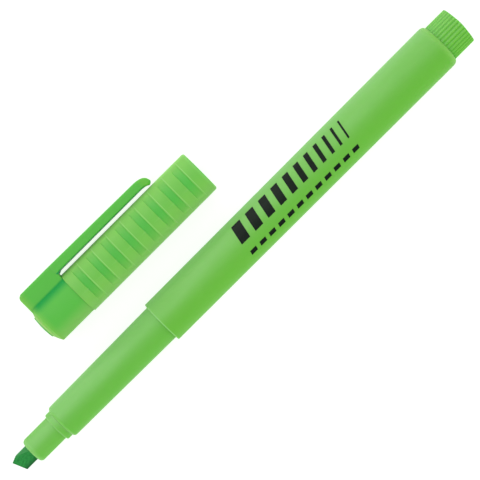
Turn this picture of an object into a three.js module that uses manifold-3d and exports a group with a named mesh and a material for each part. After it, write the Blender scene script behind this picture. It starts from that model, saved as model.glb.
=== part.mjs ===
// Pen-style highlighter with a pull-off clip cap, in millimetres, +Z up.
// The pen lies along X with its nib towards -X. The cap lies beside it on the +Y side, pointing the
// same way as when it is fitted, with its clip towards +Y.
import * as THREE from 'three';
import { mergeVertices } from 'three/addons/utils/BufferGeometryUtils.js';
import Module from 'manifold-3d';

const wasm = await Module();
wasm.setup();

// ---------------------------------------------------------------- driving dimensions

// Clearances between pieces
const PRESS_CLEARANCE = 0.1; // radial, between pieces pushed together for good
const SLIP_CLEARANCE = 0.15; // radial, around the wrapped reservoir
const CAP_CLEARANCE = 0.115; // radial, cap bore over the front section
const SEAL_CLEARANCE = 0.12; // radial, inner cap over the nose
const END_GAP = 0.2; // axial, between faces that meet

// Ink system
const RESERVOIR_DIAMETER = 5.7;
const WRAP_WALL = 0.15;
const WRAP_SETBACK = 0.8; // bare fibre at each end of the wrap
const NIB_DIAMETER = 3.9;
const NIB_EXPOSED = 4.6;
const NIB_DIP = 3.0; // how far the nib runs into the reservoir
const NIB_TIP_THICKNESS = 0.9;
const NIB_TAPER_LENGTH = 4.3;
const NIB_SLANT = 0.42; // run back of the writing edge per millimetre of its width
const NIB_BEVEL_LENGTH = 1.7;
const NIB_BEVEL_WIDTH = 0.7;
const NIB_REAR_CHAMFER = 0.5;

// Nib holder
const NOSE_WALL = 1.0;
const NOSE_LENGTH = 7.5;
const NOSE_EDGE_RADIUS = 0.85;
const FLANGE_LIP = 0.5;
const FLANGE_LENGTH = 1.4;
const HOLDER_SPIGOT_LENGTH = 9.0;

// Front section
const GRIP_LENGTH = 30.6;
const GRIP_FRONT_WALL = 0.9;
const GRIP_REAR_WALL = 1.2;
const GRIP_EDGE_RADIUS = 0.8;
const GRIP_SPIGOT_LENGTH = 12.0;
const GRIP_SPIGOT_WALL = 0.75;

// Barrel
const BARREL_LENGTH = 84.6;
const BARREL_FRONT_WALL = 1.1;
const BARREL_REAR_WALL = 1.3;
const BARREL_EDGE_LENGTH = 1.2;
const BARREL_EDGE_DEPTH = 0.7;
const BARREL_RIB_COUNT = 6;
const BARREL_RIB_WIDTH = 0.7;
const BARREL_RIB_SETBACK = 2.0;

// End plug
const PLUG_HEAD_DIAMETER = 9.3;
const PLUG_HEAD_LENGTH = 5.7;
const PLUG_DOME_HEIGHT = 0.5;
const PLUG_FLAT_DIAMETER = 4.0;
const PLUG_RIB_COUNT = 32;
const PLUG_RIB_DEPTH = 0.18;
const PLUG_CREST_SHARE = 0.56; // of a rib's pitch
const PLUG_VALLEY_SHARE = 0.2;
const PLUG_DOME_SHOULDER = 0.6; // share of the dome's height reached halfway in
const PLUG_SPIGOT_LENGTH = 9.0;
const PLUG_SPIGOT_WALL = 0.8;

// Cap
const CAP_WALL = 0.67;
const CAP_EDGE_RADIUS = 0.5;
const CROWN_LENGTH = 10.5;
const CROWN_STEP = 0.225;
const CROWN_DOME_HEIGHT = 1.2;
const CROWN_DOME_SHOULDER = 0.35; // share of the dome's height left halfway out
const CROWN_FACE_DIAMETER = 6.6;
const CROWN_END_WALL = 1.4;
const CROWN_SPIGOT_LENGTH = 4.0;
const NIB_TIP_CLEARANCE = 1.0;
const INNER_CAP_WALL = 0.6;
const INNER_CAP_END_WALL = 1.0;
const BUTTON_DIAMETER = 5.7;
const BUTTON_STAND = 0.2;
const RECESS_COUNT = 8;
const RECESS_WIDTH = 1.87;
const RECESS_DEPTH = 0.3;
const RECESS_HALF_ANGLE = THREE.MathUtils.degToRad(58);
const RECESS_MARGIN_SEAM = 3.28;
const RECESS_MARGIN_MOUTH = 3.86;

// Clip
const CLIP_GAP = 0.85; // between the arm and the cap tube
const CLIP_TOE_GAP = 0.3;
const CLIP_ROOT_THICKNESS = 2.3;
const CLIP_TIP_THICKNESS = 2.05;
const CLIP_WIDTH = 5.2;
const CLIP_ARM_WIDTH = 4.4;
const CLIP_ARM_LENGTH = 28.0;
const CLIP_SPLIT = 0.3; // gap between block and arm, where the plastic bends
const CLIP_BLOCK_SETBACK = 0.7;
const CLIP_BLOCK_RADIUS = 1.2;
const CLIP_TOE_RADIUS = 0.6;
const CLIP_TOE_SLOPE = 3.6; // length over which the arm's outer face curves down to the toe
const CLIP_HOOK_START = 2.4; // where the underside starts to hook in, back from the tip
const CLIP_HOOK_KNEE = 1.7;
const CLIP_HOOK_END = 1.2;
const CLIP_HOOK_LIFT = 0.12; // how far the hook's end stays above the toe's lowest point

// Where the cap is put down
const CAP_SPACING = 17.2; // pen axis to cap axis
const CAP_SHIFT = 28.9; // cap mouth behind the barrel's shoulder

// Facets round a body and in its small curves
const FINE_SIDES = 36;
const SMALL_SIDES = 24;
const EDGE_STEPS = 4;
const RECESS_STEPS = 8;
const TOE_STEPS = 5;
const PLATE_STEPS = 6;
const MERGE_DISTANCE = 1e-4;

// ---------------------------------------------------------------- sizes that follow

const wrapBoreRadius = RESERVOIR_DIAMETER / 2 + PRESS_CLEARANCE;
const wrapRadius = wrapBoreRadius + WRAP_WALL;
const gripBoreRadius = wrapRadius + SLIP_CLEARANCE;
const gripFrontRadius = gripBoreRadius + GRIP_FRONT_WALL;
const gripRearRadius = gripBoreRadius + GRIP_REAR_WALL;
const gripSpigotRadius = gripBoreRadius + GRIP_SPIGOT_WALL;
const barrelBoreRadius = gripSpigotRadius + PRESS_CLEARANCE;
const barrelFrontRadius = barrelBoreRadius + BARREL_FRONT_WALL;
const barrelRearRadius = barrelBoreRadius + BARREL_REAR_WALL;
const nibBoreRadius = NIB_DIAMETER / 2 + PRESS_CLEARANCE;
const noseRadius = nibBoreRadius + NOSE_WALL;
const flangeRadius = noseRadius + FLANGE_LIP;
const capBoreRadius = gripRearRadius + CAP_CLEARANCE;
const capRadius = capBoreRadius + CAP_WALL;
const crownRadius = capRadius - CROWN_STEP;
const innerCapBoreRadius = noseRadius + SEAL_CLEARANCE;
const innerCapRadius = innerCapBoreRadius + INNER_CAP_WALL;
const crownBoreRadius = innerCapRadius + PRESS_CLEARANCE;

// Stations along the pen, from the nib's tip
const noseFront = NIB_EXPOSED;
const flangeFront = noseFront + NOSE_LENGTH;
const gripFront = flangeFront + FLANGE_LENGTH;
const barrelFront = gripFront + GRIP_LENGTH;
const barrelRear = barrelFront + BARREL_LENGTH;
const plugRim = barrelRear + PLUG_HEAD_LENGTH;
const penLength = plugRim + PLUG_DOME_HEIGHT;
const holderRear = gripFront + HOLDER_SPIGOT_LENGTH;
const reservoirFront = holderRear + END_GAP;
const plugSpigotFront = barrelRear - PLUG_SPIGOT_LENGTH;
const reservoirRear = plugSpigotFront - END_GAP;

// Stations along the cap, from its mouth back to its crown
const crownInnerDepth = NIB_TIP_CLEARANCE + INNER_CAP_END_WALL + END_GAP + CROWN_END_WALL;
const crownEnd = -(barrelFront + crownInnerDepth);
const seam = crownEnd + CROWN_LENGTH;
const crownInnerFace = crownEnd + CROWN_END_WALL;
const innerCapEnd = crownInnerFace + END_GAP;
const innerCapMouth = -(barrelFront - flangeFront) - END_GAP;
const clipUnderside = capRadius + CLIP_GAP;
const clipTop = clipUnderside + CLIP_ROOT_THICKNESS;

// ---------------------------------------------------------------- tools

// A body of revolution about X from [x, radius] points, with a flat facet facing down.
function turned(points, sides) {
  const profile = points.map(([x, radius]) => new THREE.Vector2(radius, x));
  const geometry = new THREE.LatheGeometry(profile, sides, Math.PI / sides);
  geometry.rotateZ(-Math.PI / 2);
  return geometry;
}

// A turned body whose profile closes on itself, such as a tube.
function turnedRing(points, sides) {
  return turned([...points, points[0]], sides);
}

// Points on an ellipse's quarter about (x, r); angles in degrees, 0 towards +X and 90 outwards.
function arc(x, r, lengthRadius, depthRadius, fromAngle, toAngle) {
  const points = [];
  for (let i = 0; i <= EDGE_STEPS; i += 1) {
    const angle = THREE.MathUtils.degToRad(fromAngle + ((toAngle - fromAngle) * i) / EDGE_STEPS);
    points.push([x + lengthRadius * Math.cos(angle), r + depthRadius * Math.sin(angle)]);
  }
  return points;
}

// Turns a closed geometry into a solid for joining and cutting.
function toSolid(geometry) {
  const bare = geometry.index ? geometry.toNonIndexed() : geometry.clone();
  bare.deleteAttribute('normal');
  bare.deleteAttribute('uv');
  const merged = mergeVertices(bare, MERGE_DISTANCE);
  const kept = [];
  const index = merged.index.array;
  for (let i = 0; i < index.length; i += 3) {
    const [a, b, c] = [index[i], index[i + 1], index[i + 2]];
    if (a !== b && b !== c && c !== a) kept.push(a, b, c);
  }
  return new wasm.Manifold(
    new wasm.Mesh({
      numProp: 3,
      vertProperties: new Float32Array(merged.attributes.position.array),
      triVerts: new Uint32Array(kept),
    }),
  );
}

// Turns a solid back into a geometry.
function toGeometry(solid) {
  const mesh = solid.getMesh();
  const geometry = new THREE.BufferGeometry();
  geometry.setAttribute('position', new THREE.BufferAttribute(new Float32Array(mesh.vertProperties), 3));
  geometry.setIndex(new THREE.BufferAttribute(new Uint32Array(mesh.triVerts), 1));
  geometry.computeVertexNormals();
  return geometry;
}

// A box given by its low and high corners.
function boxBetween(low, high) {
  const geometry = new THREE.BoxGeometry(high[0] - low[0], high[1] - low[1], high[2] - low[2]);
  geometry.translate((low[0] + high[0]) / 2, (low[1] + high[1]) / 2, (low[2] + high[2]) / 2);
  return geometry;
}

// A flat outline in the X-Y plane, drawn out symmetrically along Z.
function plate(shape, width, curveSegments = PLATE_STEPS) {
  const geometry = new THREE.ExtrudeGeometry(shape, { depth: width, bevelEnabled: false, curveSegments });
  geometry.translate(0, 0, -width / 2);
  return geometry;
}

function named(name, geometry, material) {
  const mesh = new THREE.Mesh(geometry, material);
  mesh.name = name;
  return mesh;
}

// ---------------------------------------------------------------- finishes

function plastic(name, colour, roughness) {
  return new THREE.MeshStandardMaterial({ name, color: colour, roughness, metalness: 0 });
}

const barrelPlastic = plastic('barrel_plastic', 0x80c456, 0.45);
const gripPlastic = plastic('grip_plastic', 0x80c55f, 0.45);
const holderPlastic = plastic('holder_plastic', 0x86c868, 0.4);
const plugPlastic = plastic('plug_plastic', 0x7dc352, 0.4);
const capPlastic = plastic('cap_plastic', 0x74c05c, 0.45);
const clipPlastic = plastic('clip_plastic', 0x5cbb55, 0.4);
const nibFibre = plastic('nib_fibre', 0x338c46, 0.9);
const inkFibre = plastic('ink_fibre', 0x6bbf3f, 0.95);
const wrapFilm = plastic('wrap_film', 0xe8f2e4, 0.3);

// ---------------------------------------------------------------- pen pieces

// A fibre rod, cut to a wedge with a slanted writing edge and one bevelled corner.
function makeNib() {
  const radius = NIB_DIAMETER / 2;
  const rear = reservoirFront + NIB_DIP;
  const rod = turned(
    [
      [-radius, 0],
      [-radius, radius],
      [rear - NIB_REAR_CHAMFER, radius],
      [rear, radius - NIB_REAR_CHAMFER],
      [rear, 0],
    ],
    SMALL_SIDES,
  );
  const wedge = new THREE.Shape();
  wedge.moveTo(0, -NIB_TIP_THICKNESS / 2);
  wedge.lineTo(NIB_TAPER_LENGTH, -radius - PRESS_CLEARANCE);
  wedge.lineTo(rear + radius, -radius - PRESS_CLEARANCE);
  wedge.lineTo(rear + radius, radius + PRESS_CLEARANCE);
  wedge.lineTo(NIB_TAPER_LENGTH, radius + PRESS_CLEARANCE);
  wedge.lineTo(0, NIB_TIP_THICKNESS / 2);
  wedge.closePath();
  const wedgeBody = plate(wedge, 4 * radius);
  wedgeBody.rotateX(Math.PI / 2);
  const bevelEdge = radius - NIB_BEVEL_WIDTH;
  // The wedge leans so that its front edge runs back as it goes away from the bevel.
  wedgeBody.applyMatrix4(new THREE.Matrix4().makeShear(0, 0, -NIB_SLANT, 0, 0, 0));
  wedgeBody.translate(NIB_SLANT * bevelEdge, 0, 0);
  const corner = new THREE.Shape();
  corner.moveTo(0, bevelEdge);
  corner.lineTo(NIB_BEVEL_LENGTH, radius);
  corner.lineTo(NIB_BEVEL_LENGTH, 2 * radius);
  corner.lineTo(-2 * radius, 2 * radius);
  corner.lineTo(-2 * radius, bevelEdge - NIB_BEVEL_WIDTH);
  corner.closePath();
  const solid = toSolid(rod).intersect(toSolid(wedgeBody)).subtract(toSolid(plate(corner, 4 * radius)));
  return named('nib', toGeometry(solid), nibFibre);
}

// The round-nosed holder that grips the nib, with a flange and a spigot into the front section.
function makeNibHolder() {
  const noseEdge = arc(
    noseFront + NOSE_EDGE_RADIUS,
    noseRadius - NOSE_EDGE_RADIUS,
    NOSE_EDGE_RADIUS,
    NOSE_EDGE_RADIUS,
    180,
    90,
  );
  const spigotRadius = gripBoreRadius - PRESS_CLEARANCE;
  const profile = [
    [noseFront, nibBoreRadius],
    ...noseEdge,
    [flangeFront, noseRadius],
    [flangeFront, flangeRadius],
    [gripFront - END_GAP, flangeRadius],
    [gripFront - END_GAP, spigotRadius],
    [holderRear, spigotRadius],
    [holderRear, nibBoreRadius],
  ];
  return named('nib_holder', turnedRing(profile, SMALL_SIDES), holderPlastic);
}

// The tapered part in front of the shoulder, pushed into the barrel on a spigot.
function makeFrontSection() {
  const frontEdge = arc(
    gripFront + GRIP_EDGE_RADIUS,
    gripFrontRadius - GRIP_EDGE_RADIUS,
    GRIP_EDGE_RADIUS,
    GRIP_EDGE_RADIUS,
    180,
    90,
  );
  const spigotRear = barrelFront + GRIP_SPIGOT_LENGTH;
  const profile = [
    [gripFront, gripBoreRadius],
    ...frontEdge,
    [barrelFront - END_GAP, gripRearRadius],
    [barrelFront - END_GAP, gripSpigotRadius],
    [spigotRear, gripSpigotRadius],
    [spigotRear, gripBoreRadius],
  ];
  return named('front_section', turnedRing(profile, FINE_SIDES), gripPlastic);
}

// The main tube, with ribs inside that centre the reservoir.
function makeBarrel() {
  const rearEdge = arc(
    barrelRear - BARREL_EDGE_LENGTH,
    barrelRearRadius - BARREL_EDGE_DEPTH,
    BARREL_EDGE_LENGTH,
    BARREL_EDGE_DEPTH,
    90,
    0,
  );
  const profile = [
    [barrelFront, barrelBoreRadius],
    [barrelFront, barrelFrontRadius],
    ...rearEdge,
    [barrelRear, barrelBoreRadius],
  ];
  let solid = toSolid(turnedRing(profile, FINE_SIDES));
  const ribFront = barrelFront + GRIP_SPIGOT_LENGTH + BARREL_RIB_SETBACK;
  const ribRear = plugSpigotFront - BARREL_RIB_SETBACK;
  for (let i = 0; i < BARREL_RIB_COUNT; i += 1) {
    const rib = boxBetween(
      [ribFront, -BARREL_RIB_WIDTH / 2, wrapRadius + SLIP_CLEARANCE],
      [ribRear, BARREL_RIB_WIDTH / 2, barrelBoreRadius + BARREL_FRONT_WALL / 2],
    );
    rib.rotateX((2 * Math.PI * i) / BARREL_RIB_COUNT);
    solid = solid.add(toSolid(rib));
  }
  return named('barrel', toGeometry(solid), barrelPlastic);
}

// The felted rod that holds the ink, with a socket for the nib's rear end.
function makeReservoir() {
  const socketRadius = nibBoreRadius;
  const socketEnd = reservoirFront + NIB_DIP + END_GAP;
  const profile = [
    [socketEnd, 0],
    [socketEnd, socketRadius],
    [reservoirFront, socketRadius],
    [reservoirFront, RESERVOIR_DIAMETER / 2],
    [reservoirRear, RESERVOIR_DIAMETER / 2],
    [reservoirRear, 0],
  ];
  return named('ink_reservoir', turned(profile, SMALL_SIDES), inkFibre);
}

// The film round the reservoir, open at both ends.
function makeWrap() {
  const profile = [
    [reservoirFront + WRAP_SETBACK, wrapBoreRadius],
    [reservoirFront + WRAP_SETBACK, wrapRadius],
    [reservoirRear - WRAP_SETBACK, wrapRadius],
    [reservoirRear - WRAP_SETBACK, wrapBoreRadius],
  ];
  return named('reservoir_wrap', turnedRing(profile, SMALL_SIDES), wrapFilm);
}

// Outline of a ribbed disc: flat crests with narrower valleys between them.
function ribbedOutline(radius) {
  const shape = new THREE.Shape();
  const step = (2 * Math.PI) / PLUG_RIB_COUNT;
  const valley = radius - PLUG_RIB_DEPTH;
  const corners = [
    [-PLUG_CREST_SHARE / 2, radius],
    [PLUG_CREST_SHARE / 2, radius],
    [(1 - PLUG_VALLEY_SHARE) / 2, valley],
    [(1 + PLUG_VALLEY_SHARE) / 2, valley],
  ];
  for (let i = 0; i < PLUG_RIB_COUNT; i += 1) {
    for (const [share, r] of corners) {
      const angle = (i + share) * step;
      const point = [r * Math.cos(angle), r * Math.sin(angle)];
      if (i === 0 && share === corners[0][0]) shape.moveTo(...point);
      else shape.lineTo(...point);
    }
  }
  shape.closePath();
  return shape;
}

// The ribbed plug that closes the barrel, hollow in front and slightly domed behind.
function makeEndPlug() {
  const headRadius = PLUG_HEAD_DIAMETER / 2;
  const head = new THREE.ExtrudeGeometry(ribbedOutline(headRadius), {
    depth: PLUG_HEAD_LENGTH - END_GAP,
    bevelEnabled: false,
  });
  head.rotateY(Math.PI / 2);
  head.translate(barrelRear + END_GAP, 0, 0);
  const valleyRadius = headRadius - PLUG_RIB_DEPTH;
  const dome = turned(
    [
      [plugRim - PLUG_DOME_HEIGHT, 0],
      [plugRim - PLUG_DOME_HEIGHT, valleyRadius - PLUG_RIB_DEPTH],
      [plugRim, valleyRadius - PLUG_RIB_DEPTH],
      [plugRim + PLUG_DOME_HEIGHT * PLUG_DOME_SHOULDER, (valleyRadius + PLUG_FLAT_DIAMETER / 2) / 2],
      [penLength, PLUG_FLAT_DIAMETER / 2],
      [penLength, 0],
    ],
    SMALL_SIDES,
  );
  const spigotRadius = barrelBoreRadius - PRESS_CLEARANCE;
  const hollowRadius = spigotRadius - PLUG_SPIGOT_WALL;
  const spigot = turned(
    [
      [barrelRear - END_GAP, 0],
      [barrelRear - END_GAP, hollowRadius],
      [plugSpigotFront, hollowRadius],
      [plugSpigotFront, spigotRadius],
      [barrelRear + END_GAP * 2, spigotRadius],
      [barrelRear + END_GAP * 2, 0],
    ],
    FINE_SIDES,
  );
  const solid = toSolid(head).add(toSolid(dome)).add(toSolid(spigot));
  return named('end_plug', toGeometry(solid), plugPlastic);
}

// ---------------------------------------------------------------- cap pieces

// A cutter for one shallow recess: a sector of a ring, centred on the given side (+1 top, -1 bottom).
function recessCutter(x, side) {
  const inner = capRadius - RECESS_DEPTH;
  const outer = capRadius + RECESS_DEPTH;
  const middle = (side * Math.PI) / 2;
  const shape = new THREE.Shape();
  shape.absarc(0, 0, outer, middle - RECESS_HALF_ANGLE, middle + RECESS_HALF_ANGLE, false);
  shape.absarc(0, 0, inner, middle + RECESS_HALF_ANGLE, middle - RECESS_HALF_ANGLE, true);
  shape.closePath();
  const cutter = new THREE.ExtrudeGeometry(shape, {
    depth: RECESS_WIDTH,
    bevelEnabled: false,
    curveSegments: RECESS_STEPS,
  });
  cutter.translate(0, 0, x - RECESS_WIDTH / 2);
  // The outline's X and Y become the cap's Y and Z, and its depth runs along the cap.
  cutter.applyMatrix4(new THREE.Matrix4().set(0, 0, 1, 0, 1, 0, 0, 0, 0, 1, 0, 0, 0, 0, 0, 1));
  return cutter;
}

// The cap's open tube, with a row of recesses on its upper and lower sides.
function makeCapTube() {
  const mouthEdge = arc(
    -CAP_EDGE_RADIUS,
    capRadius - CAP_EDGE_RADIUS,
    CAP_EDGE_RADIUS,
    CAP_EDGE_RADIUS,
    90,
    0,
  );
  const profile = [[seam, capBoreRadius], [seam, capRadius], ...mouthEdge, [0, capBoreRadius]];
  let solid = toSolid(turnedRing(profile, FINE_SIDES));
  const firstRecess = seam + RECESS_MARGIN_SEAM;
  const pitch = (-seam - RECESS_MARGIN_SEAM - RECESS_MARGIN_MOUTH) / (RECESS_COUNT - 1);
  for (let i = 0; i < RECESS_COUNT; i += 1) {
    for (const side of [1, -1]) {
      solid = solid.subtract(toSolid(recessCutter(firstRecess + i * pitch, side)));
    }
  }
  return named('cap_tube', toGeometry(solid), capPlastic);
}

// The block that stands off the crown and carries the clip arm.
function clipBlock() {
  const low = crownEnd + CLIP_BLOCK_SETBACK;
  const high = seam - END_GAP;
  const cornerX = low + CLIP_BLOCK_RADIUS;
  const cornerY = clipTop - CLIP_BLOCK_RADIUS;
  const shape = new THREE.Shape();
  shape.moveTo(low, 0);
  shape.lineTo(high, 0);
  shape.lineTo(high, clipTop);
  shape.lineTo(cornerX, clipTop);
  shape.absarc(cornerX, cornerY, CLIP_BLOCK_RADIUS, Math.PI / 2, Math.PI, false);
  shape.closePath();
  return plate(shape, CLIP_WIDTH);
}

// The closed end of the cap, with a spigot into the tube, a hole for the button and the clip's block.
function makeCapCrown() {
  const spigotRadius = capBoreRadius - PRESS_CLEARANCE;
  const shell = turned(
    [
      [crownEnd, 0],
      [crownEnd, CROWN_FACE_DIAMETER / 2],
      [crownEnd + CROWN_DOME_HEIGHT * CROWN_DOME_SHOULDER, (CROWN_FACE_DIAMETER / 2 + crownRadius) / 2],
      [crownEnd + CROWN_DOME_HEIGHT, crownRadius],
      [seam - END_GAP, crownRadius],
      [seam - END_GAP, spigotRadius],
      [seam + CROWN_SPIGOT_LENGTH, spigotRadius],
      [seam + CROWN_SPIGOT_LENGTH, 0],
    ],
    FINE_SIDES,
  );
  const beyond = CROWN_LENGTH;
  const hollow = turned(
    [
      [crownEnd - beyond, 0],
      [crownEnd - beyond, BUTTON_DIAMETER / 2 + PRESS_CLEARANCE],
      [crownInnerFace, BUTTON_DIAMETER / 2 + PRESS_CLEARANCE],
      [crownInnerFace, crownBoreRadius],
      [seam + CROWN_SPIGOT_LENGTH + beyond, crownBoreRadius],
      [seam + CROWN_SPIGOT_LENGTH + beyond, 0],
    ],
    FINE_SIDES,
  );
  const solid = toSolid(shell).add(toSolid(clipBlock())).subtract(toSolid(hollow));
  return named('cap_crown', toGeometry(solid), clipPlastic);
}

// The liner that seals over the nose, with a button that shows through the crown's end.
function makeInnerCap() {
  const cavityEnd = innerCapEnd + INNER_CAP_END_WALL;
  const buttonEnd = crownEnd - BUTTON_STAND;
  const profile = [
    [buttonEnd, 0],
    [buttonEnd, BUTTON_DIAMETER / 2 - BUTTON_STAND],
    [crownEnd, BUTTON_DIAMETER / 2],
    [innerCapEnd, BUTTON_DIAMETER / 2],
    [innerCapEnd, innerCapRadius],
    [innerCapMouth, innerCapRadius],
    [innerCapMouth, innerCapBoreRadius],
    [cavityEnd, innerCapBoreRadius],
    [cavityEnd, 0],
  ];
  return named('inner_cap', turned(profile, FINE_SIDES), holderPlastic);
}

// The slim arm whose rounded toe hooks in towards the tube.
function makeClipArm() {
  const root = seam - END_GAP + CLIP_SPLIT;
  const tip = root + CLIP_ARM_LENGTH;
  const toeBottom = capRadius + CLIP_TOE_GAP;
  const toeX = tip - CLIP_TOE_RADIUS;
  const toeY = toeBottom + CLIP_TOE_RADIUS;
  const hookEnd = toeBottom + CLIP_HOOK_LIFT;
  const outerTip = clipUnderside + CLIP_TIP_THICKNESS;
  const shape = new THREE.Shape();
  shape.moveTo(root, clipUnderside);
  shape.lineTo(tip - CLIP_HOOK_START, clipUnderside);
  shape.quadraticCurveTo(tip - CLIP_HOOK_KNEE, clipUnderside, tip - CLIP_HOOK_END, hookEnd);
  shape.absarc(toeX, toeY, CLIP_TOE_RADIUS, -Math.PI / 2, 0, false);
  shape.quadraticCurveTo(tip, outerTip, tip - CLIP_TOE_SLOPE, outerTip);
  shape.lineTo(root, clipTop);
  shape.closePath();
  return named('clip_arm', plate(shape, CLIP_ARM_WIDTH, TOE_STEPS), clipPlastic);
}

// ---------------------------------------------------------------- assembly

const facetDrop = Math.cos(Math.PI / FINE_SIDES);
const pen = new THREE.Group();
pen.add(makeBarrel(), makeFrontSection(), makeNibHolder(), makeNib());
pen.add(makeReservoir(), makeWrap(), makeEndPlug());

const cap = new THREE.Group();
cap.add(makeCapTube(), makeCapCrown(), makeInnerCap(), makeClipArm());

// The origin is at the middle of the whole object's footprint, on the surface it lies on.
const lowSide = -barrelRearRadius * facetDrop;
const highSide = CAP_SPACING + clipTop;
const penAxisY = -(lowSide + highSide) / 2;
const capMouthX = barrelFront + CAP_SHIFT - penLength / 2;
pen.position.set(-penLength / 2, penAxisY, barrelRearRadius * facetDrop);
cap.position.set(capMouthX, penAxisY + CAP_SPACING, capRadius * facetDrop);

const highlighter = new THREE.Group();
highlighter.add(pen, cap);

export default highlighter;
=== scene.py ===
"""A slim pen-style highlighter with its clip cap pulled off and lying beside it.

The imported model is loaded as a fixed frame. Each sub-assembly is a class that holds its own sizes in
millimetres, builds its meshes round the frame's axes and dresses them in a finish. The pen lies along X
with its nib towards -X; the cap lies beside it on the +Y side.
"""

import logging
import math
from collections.abc import Callable, Sequence
from dataclasses import dataclass, field
from enum import Enum
from functools import cache

import bmesh
import bpy
import numpy as np
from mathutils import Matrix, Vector


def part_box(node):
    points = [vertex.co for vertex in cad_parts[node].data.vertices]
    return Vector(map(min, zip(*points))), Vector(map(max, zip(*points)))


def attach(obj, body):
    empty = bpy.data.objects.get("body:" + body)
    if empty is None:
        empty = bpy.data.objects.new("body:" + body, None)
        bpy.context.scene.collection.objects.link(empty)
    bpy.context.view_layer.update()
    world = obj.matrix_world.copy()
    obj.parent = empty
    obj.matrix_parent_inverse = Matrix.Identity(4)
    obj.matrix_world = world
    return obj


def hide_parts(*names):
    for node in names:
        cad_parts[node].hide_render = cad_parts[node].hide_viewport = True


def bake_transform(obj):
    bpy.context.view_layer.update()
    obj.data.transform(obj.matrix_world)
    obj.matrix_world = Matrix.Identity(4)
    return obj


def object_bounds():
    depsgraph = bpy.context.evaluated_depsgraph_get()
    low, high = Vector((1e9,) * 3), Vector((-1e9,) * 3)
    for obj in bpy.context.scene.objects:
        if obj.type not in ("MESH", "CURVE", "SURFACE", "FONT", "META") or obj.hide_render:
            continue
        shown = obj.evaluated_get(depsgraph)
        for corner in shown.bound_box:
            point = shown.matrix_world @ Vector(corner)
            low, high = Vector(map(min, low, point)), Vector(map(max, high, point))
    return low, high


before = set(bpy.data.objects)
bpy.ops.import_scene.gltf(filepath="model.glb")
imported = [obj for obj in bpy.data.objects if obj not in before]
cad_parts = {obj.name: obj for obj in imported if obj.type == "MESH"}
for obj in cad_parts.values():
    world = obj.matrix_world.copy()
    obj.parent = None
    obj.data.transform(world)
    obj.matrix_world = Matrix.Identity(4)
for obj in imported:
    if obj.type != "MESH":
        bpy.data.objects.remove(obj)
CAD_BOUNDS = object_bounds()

MM = 0.001
FINE_SEGMENTS = 144
SMALL_SEGMENTS = 96
NO_RADIUS = 1e-6
NEAR = 0.01
WELD_REACH = 1e-7

log = logging.getLogger("highlighter")

Point = tuple[float, float]
Corner = tuple[float, float, float]
Colour = tuple[float, float, float]
ShapeRule = Callable[[float, float, float], float]
Point3 = tuple[float, float, float]


class Body(Enum):
    """The moving bodies of the frame that pieces ride on."""

    PEN = "pen"
    CAP = "cap"
    CLIP = "clip"


# ---------------------------------------------------------------- measuring the frame


@cache
def node_box(node: str) -> tuple[Vector, Vector]:
    """Returns a CAD node's lowest and highest corners, measured only once."""
    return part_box(node)


@dataclass(frozen=True)
class AxisFrame:
    """A turning axis along X with an origin on it, in metres.

    Profiles are written in millimetres from this origin: x along the axis, r out from it.
    """

    origin: Vector

    @classmethod
    def through(cls, node: str, from_high_end: bool) -> "AxisFrame":
        """Finds the axis of a turned CAD node.

        Args:
            node: The CAD node's name.
            from_high_end: True to put the origin at the node's +X end, False for its -X end.

        Returns:
            The node's axis.
        """
        low, high = node_box(node)
        middle = (low + high) / 2
        return cls(Vector((high.x if from_high_end else low.x, middle.y, middle.z)))

    def at_x(self, x: float) -> "AxisFrame":
        """Returns the same axis with its origin moved to a place along X, in metres."""
        return AxisFrame(Vector((x, self.origin.y, self.origin.z)))

    def point(self, x: float, y: float, z: float) -> Vector:
        """Returns the place in metres of a point given in millimetres from the origin."""
        return self.origin + Vector((x, y, z)) * MM

    def span(self, node: str) -> tuple[float, float]:
        """Returns where a CAD node starts and ends along the axis, in millimetres from the origin."""
        low, high = node_box(node)
        return (low.x - self.origin.x) / MM, (high.x - self.origin.x) / MM


# ---------------------------------------------------------------- outlines and meshes


def rounded(corners: Sequence[Corner], steps: int = 4, closed: bool = True) -> list[Point]:
    """Rounds the corners of an outline with circular arcs.

    Args:
        corners: (x, r, radius) for each corner, in order.
        steps: Segments in each arc.
        closed: True if the last corner joins the first. Otherwise the two ends stay sharp.

    Returns:
        The outline's points.
    """
    points: list[Point] = []
    count = len(corners)
    for i, (x, r, radius) in enumerate(corners):
        if radius <= 0 or (not closed and i in (0, count - 1)):
            points.append((x, r))
            continue
        here = np.array((x, r))
        before = np.array(corners[i - 1][:2]) - here
        after = np.array(corners[(i + 1) % count][:2]) - here
        before /= np.linalg.norm(before)
        after /= np.linalg.norm(after)
        half = math.acos(max(-1.0, min(1.0, float(before @ after)))) / 2
        reach = radius / math.tan(half)
        middle = before + after
        centre = here + middle / np.linalg.norm(middle) * (radius / math.sin(half))
        first = here + before * reach - centre
        last = here + after * reach - centre
        turn = math.atan2(first[0] * last[1] - first[1] * last[0], float(first @ last))
        for k in range(steps + 1):
            angle = turn * k / steps
            c, s = math.cos(angle), math.sin(angle)
            spot = centre + np.array((first[0] * c - first[1] * s, first[0] * s + first[1] * c))
            points.append((float(spot[0]), float(spot[1])))
    return points


def smooth(share: float) -> float:
    """Returns a share between 0 and 1, eased at both ends."""
    share = min(max(share, 0.0), 1.0)
    return share * share * (3 - 2 * share)


def even_angles(count: int) -> list[float]:
    """Returns angles spread evenly round a full turn, in radians."""
    return [2 * math.pi * i / count for i in range(count)]


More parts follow.
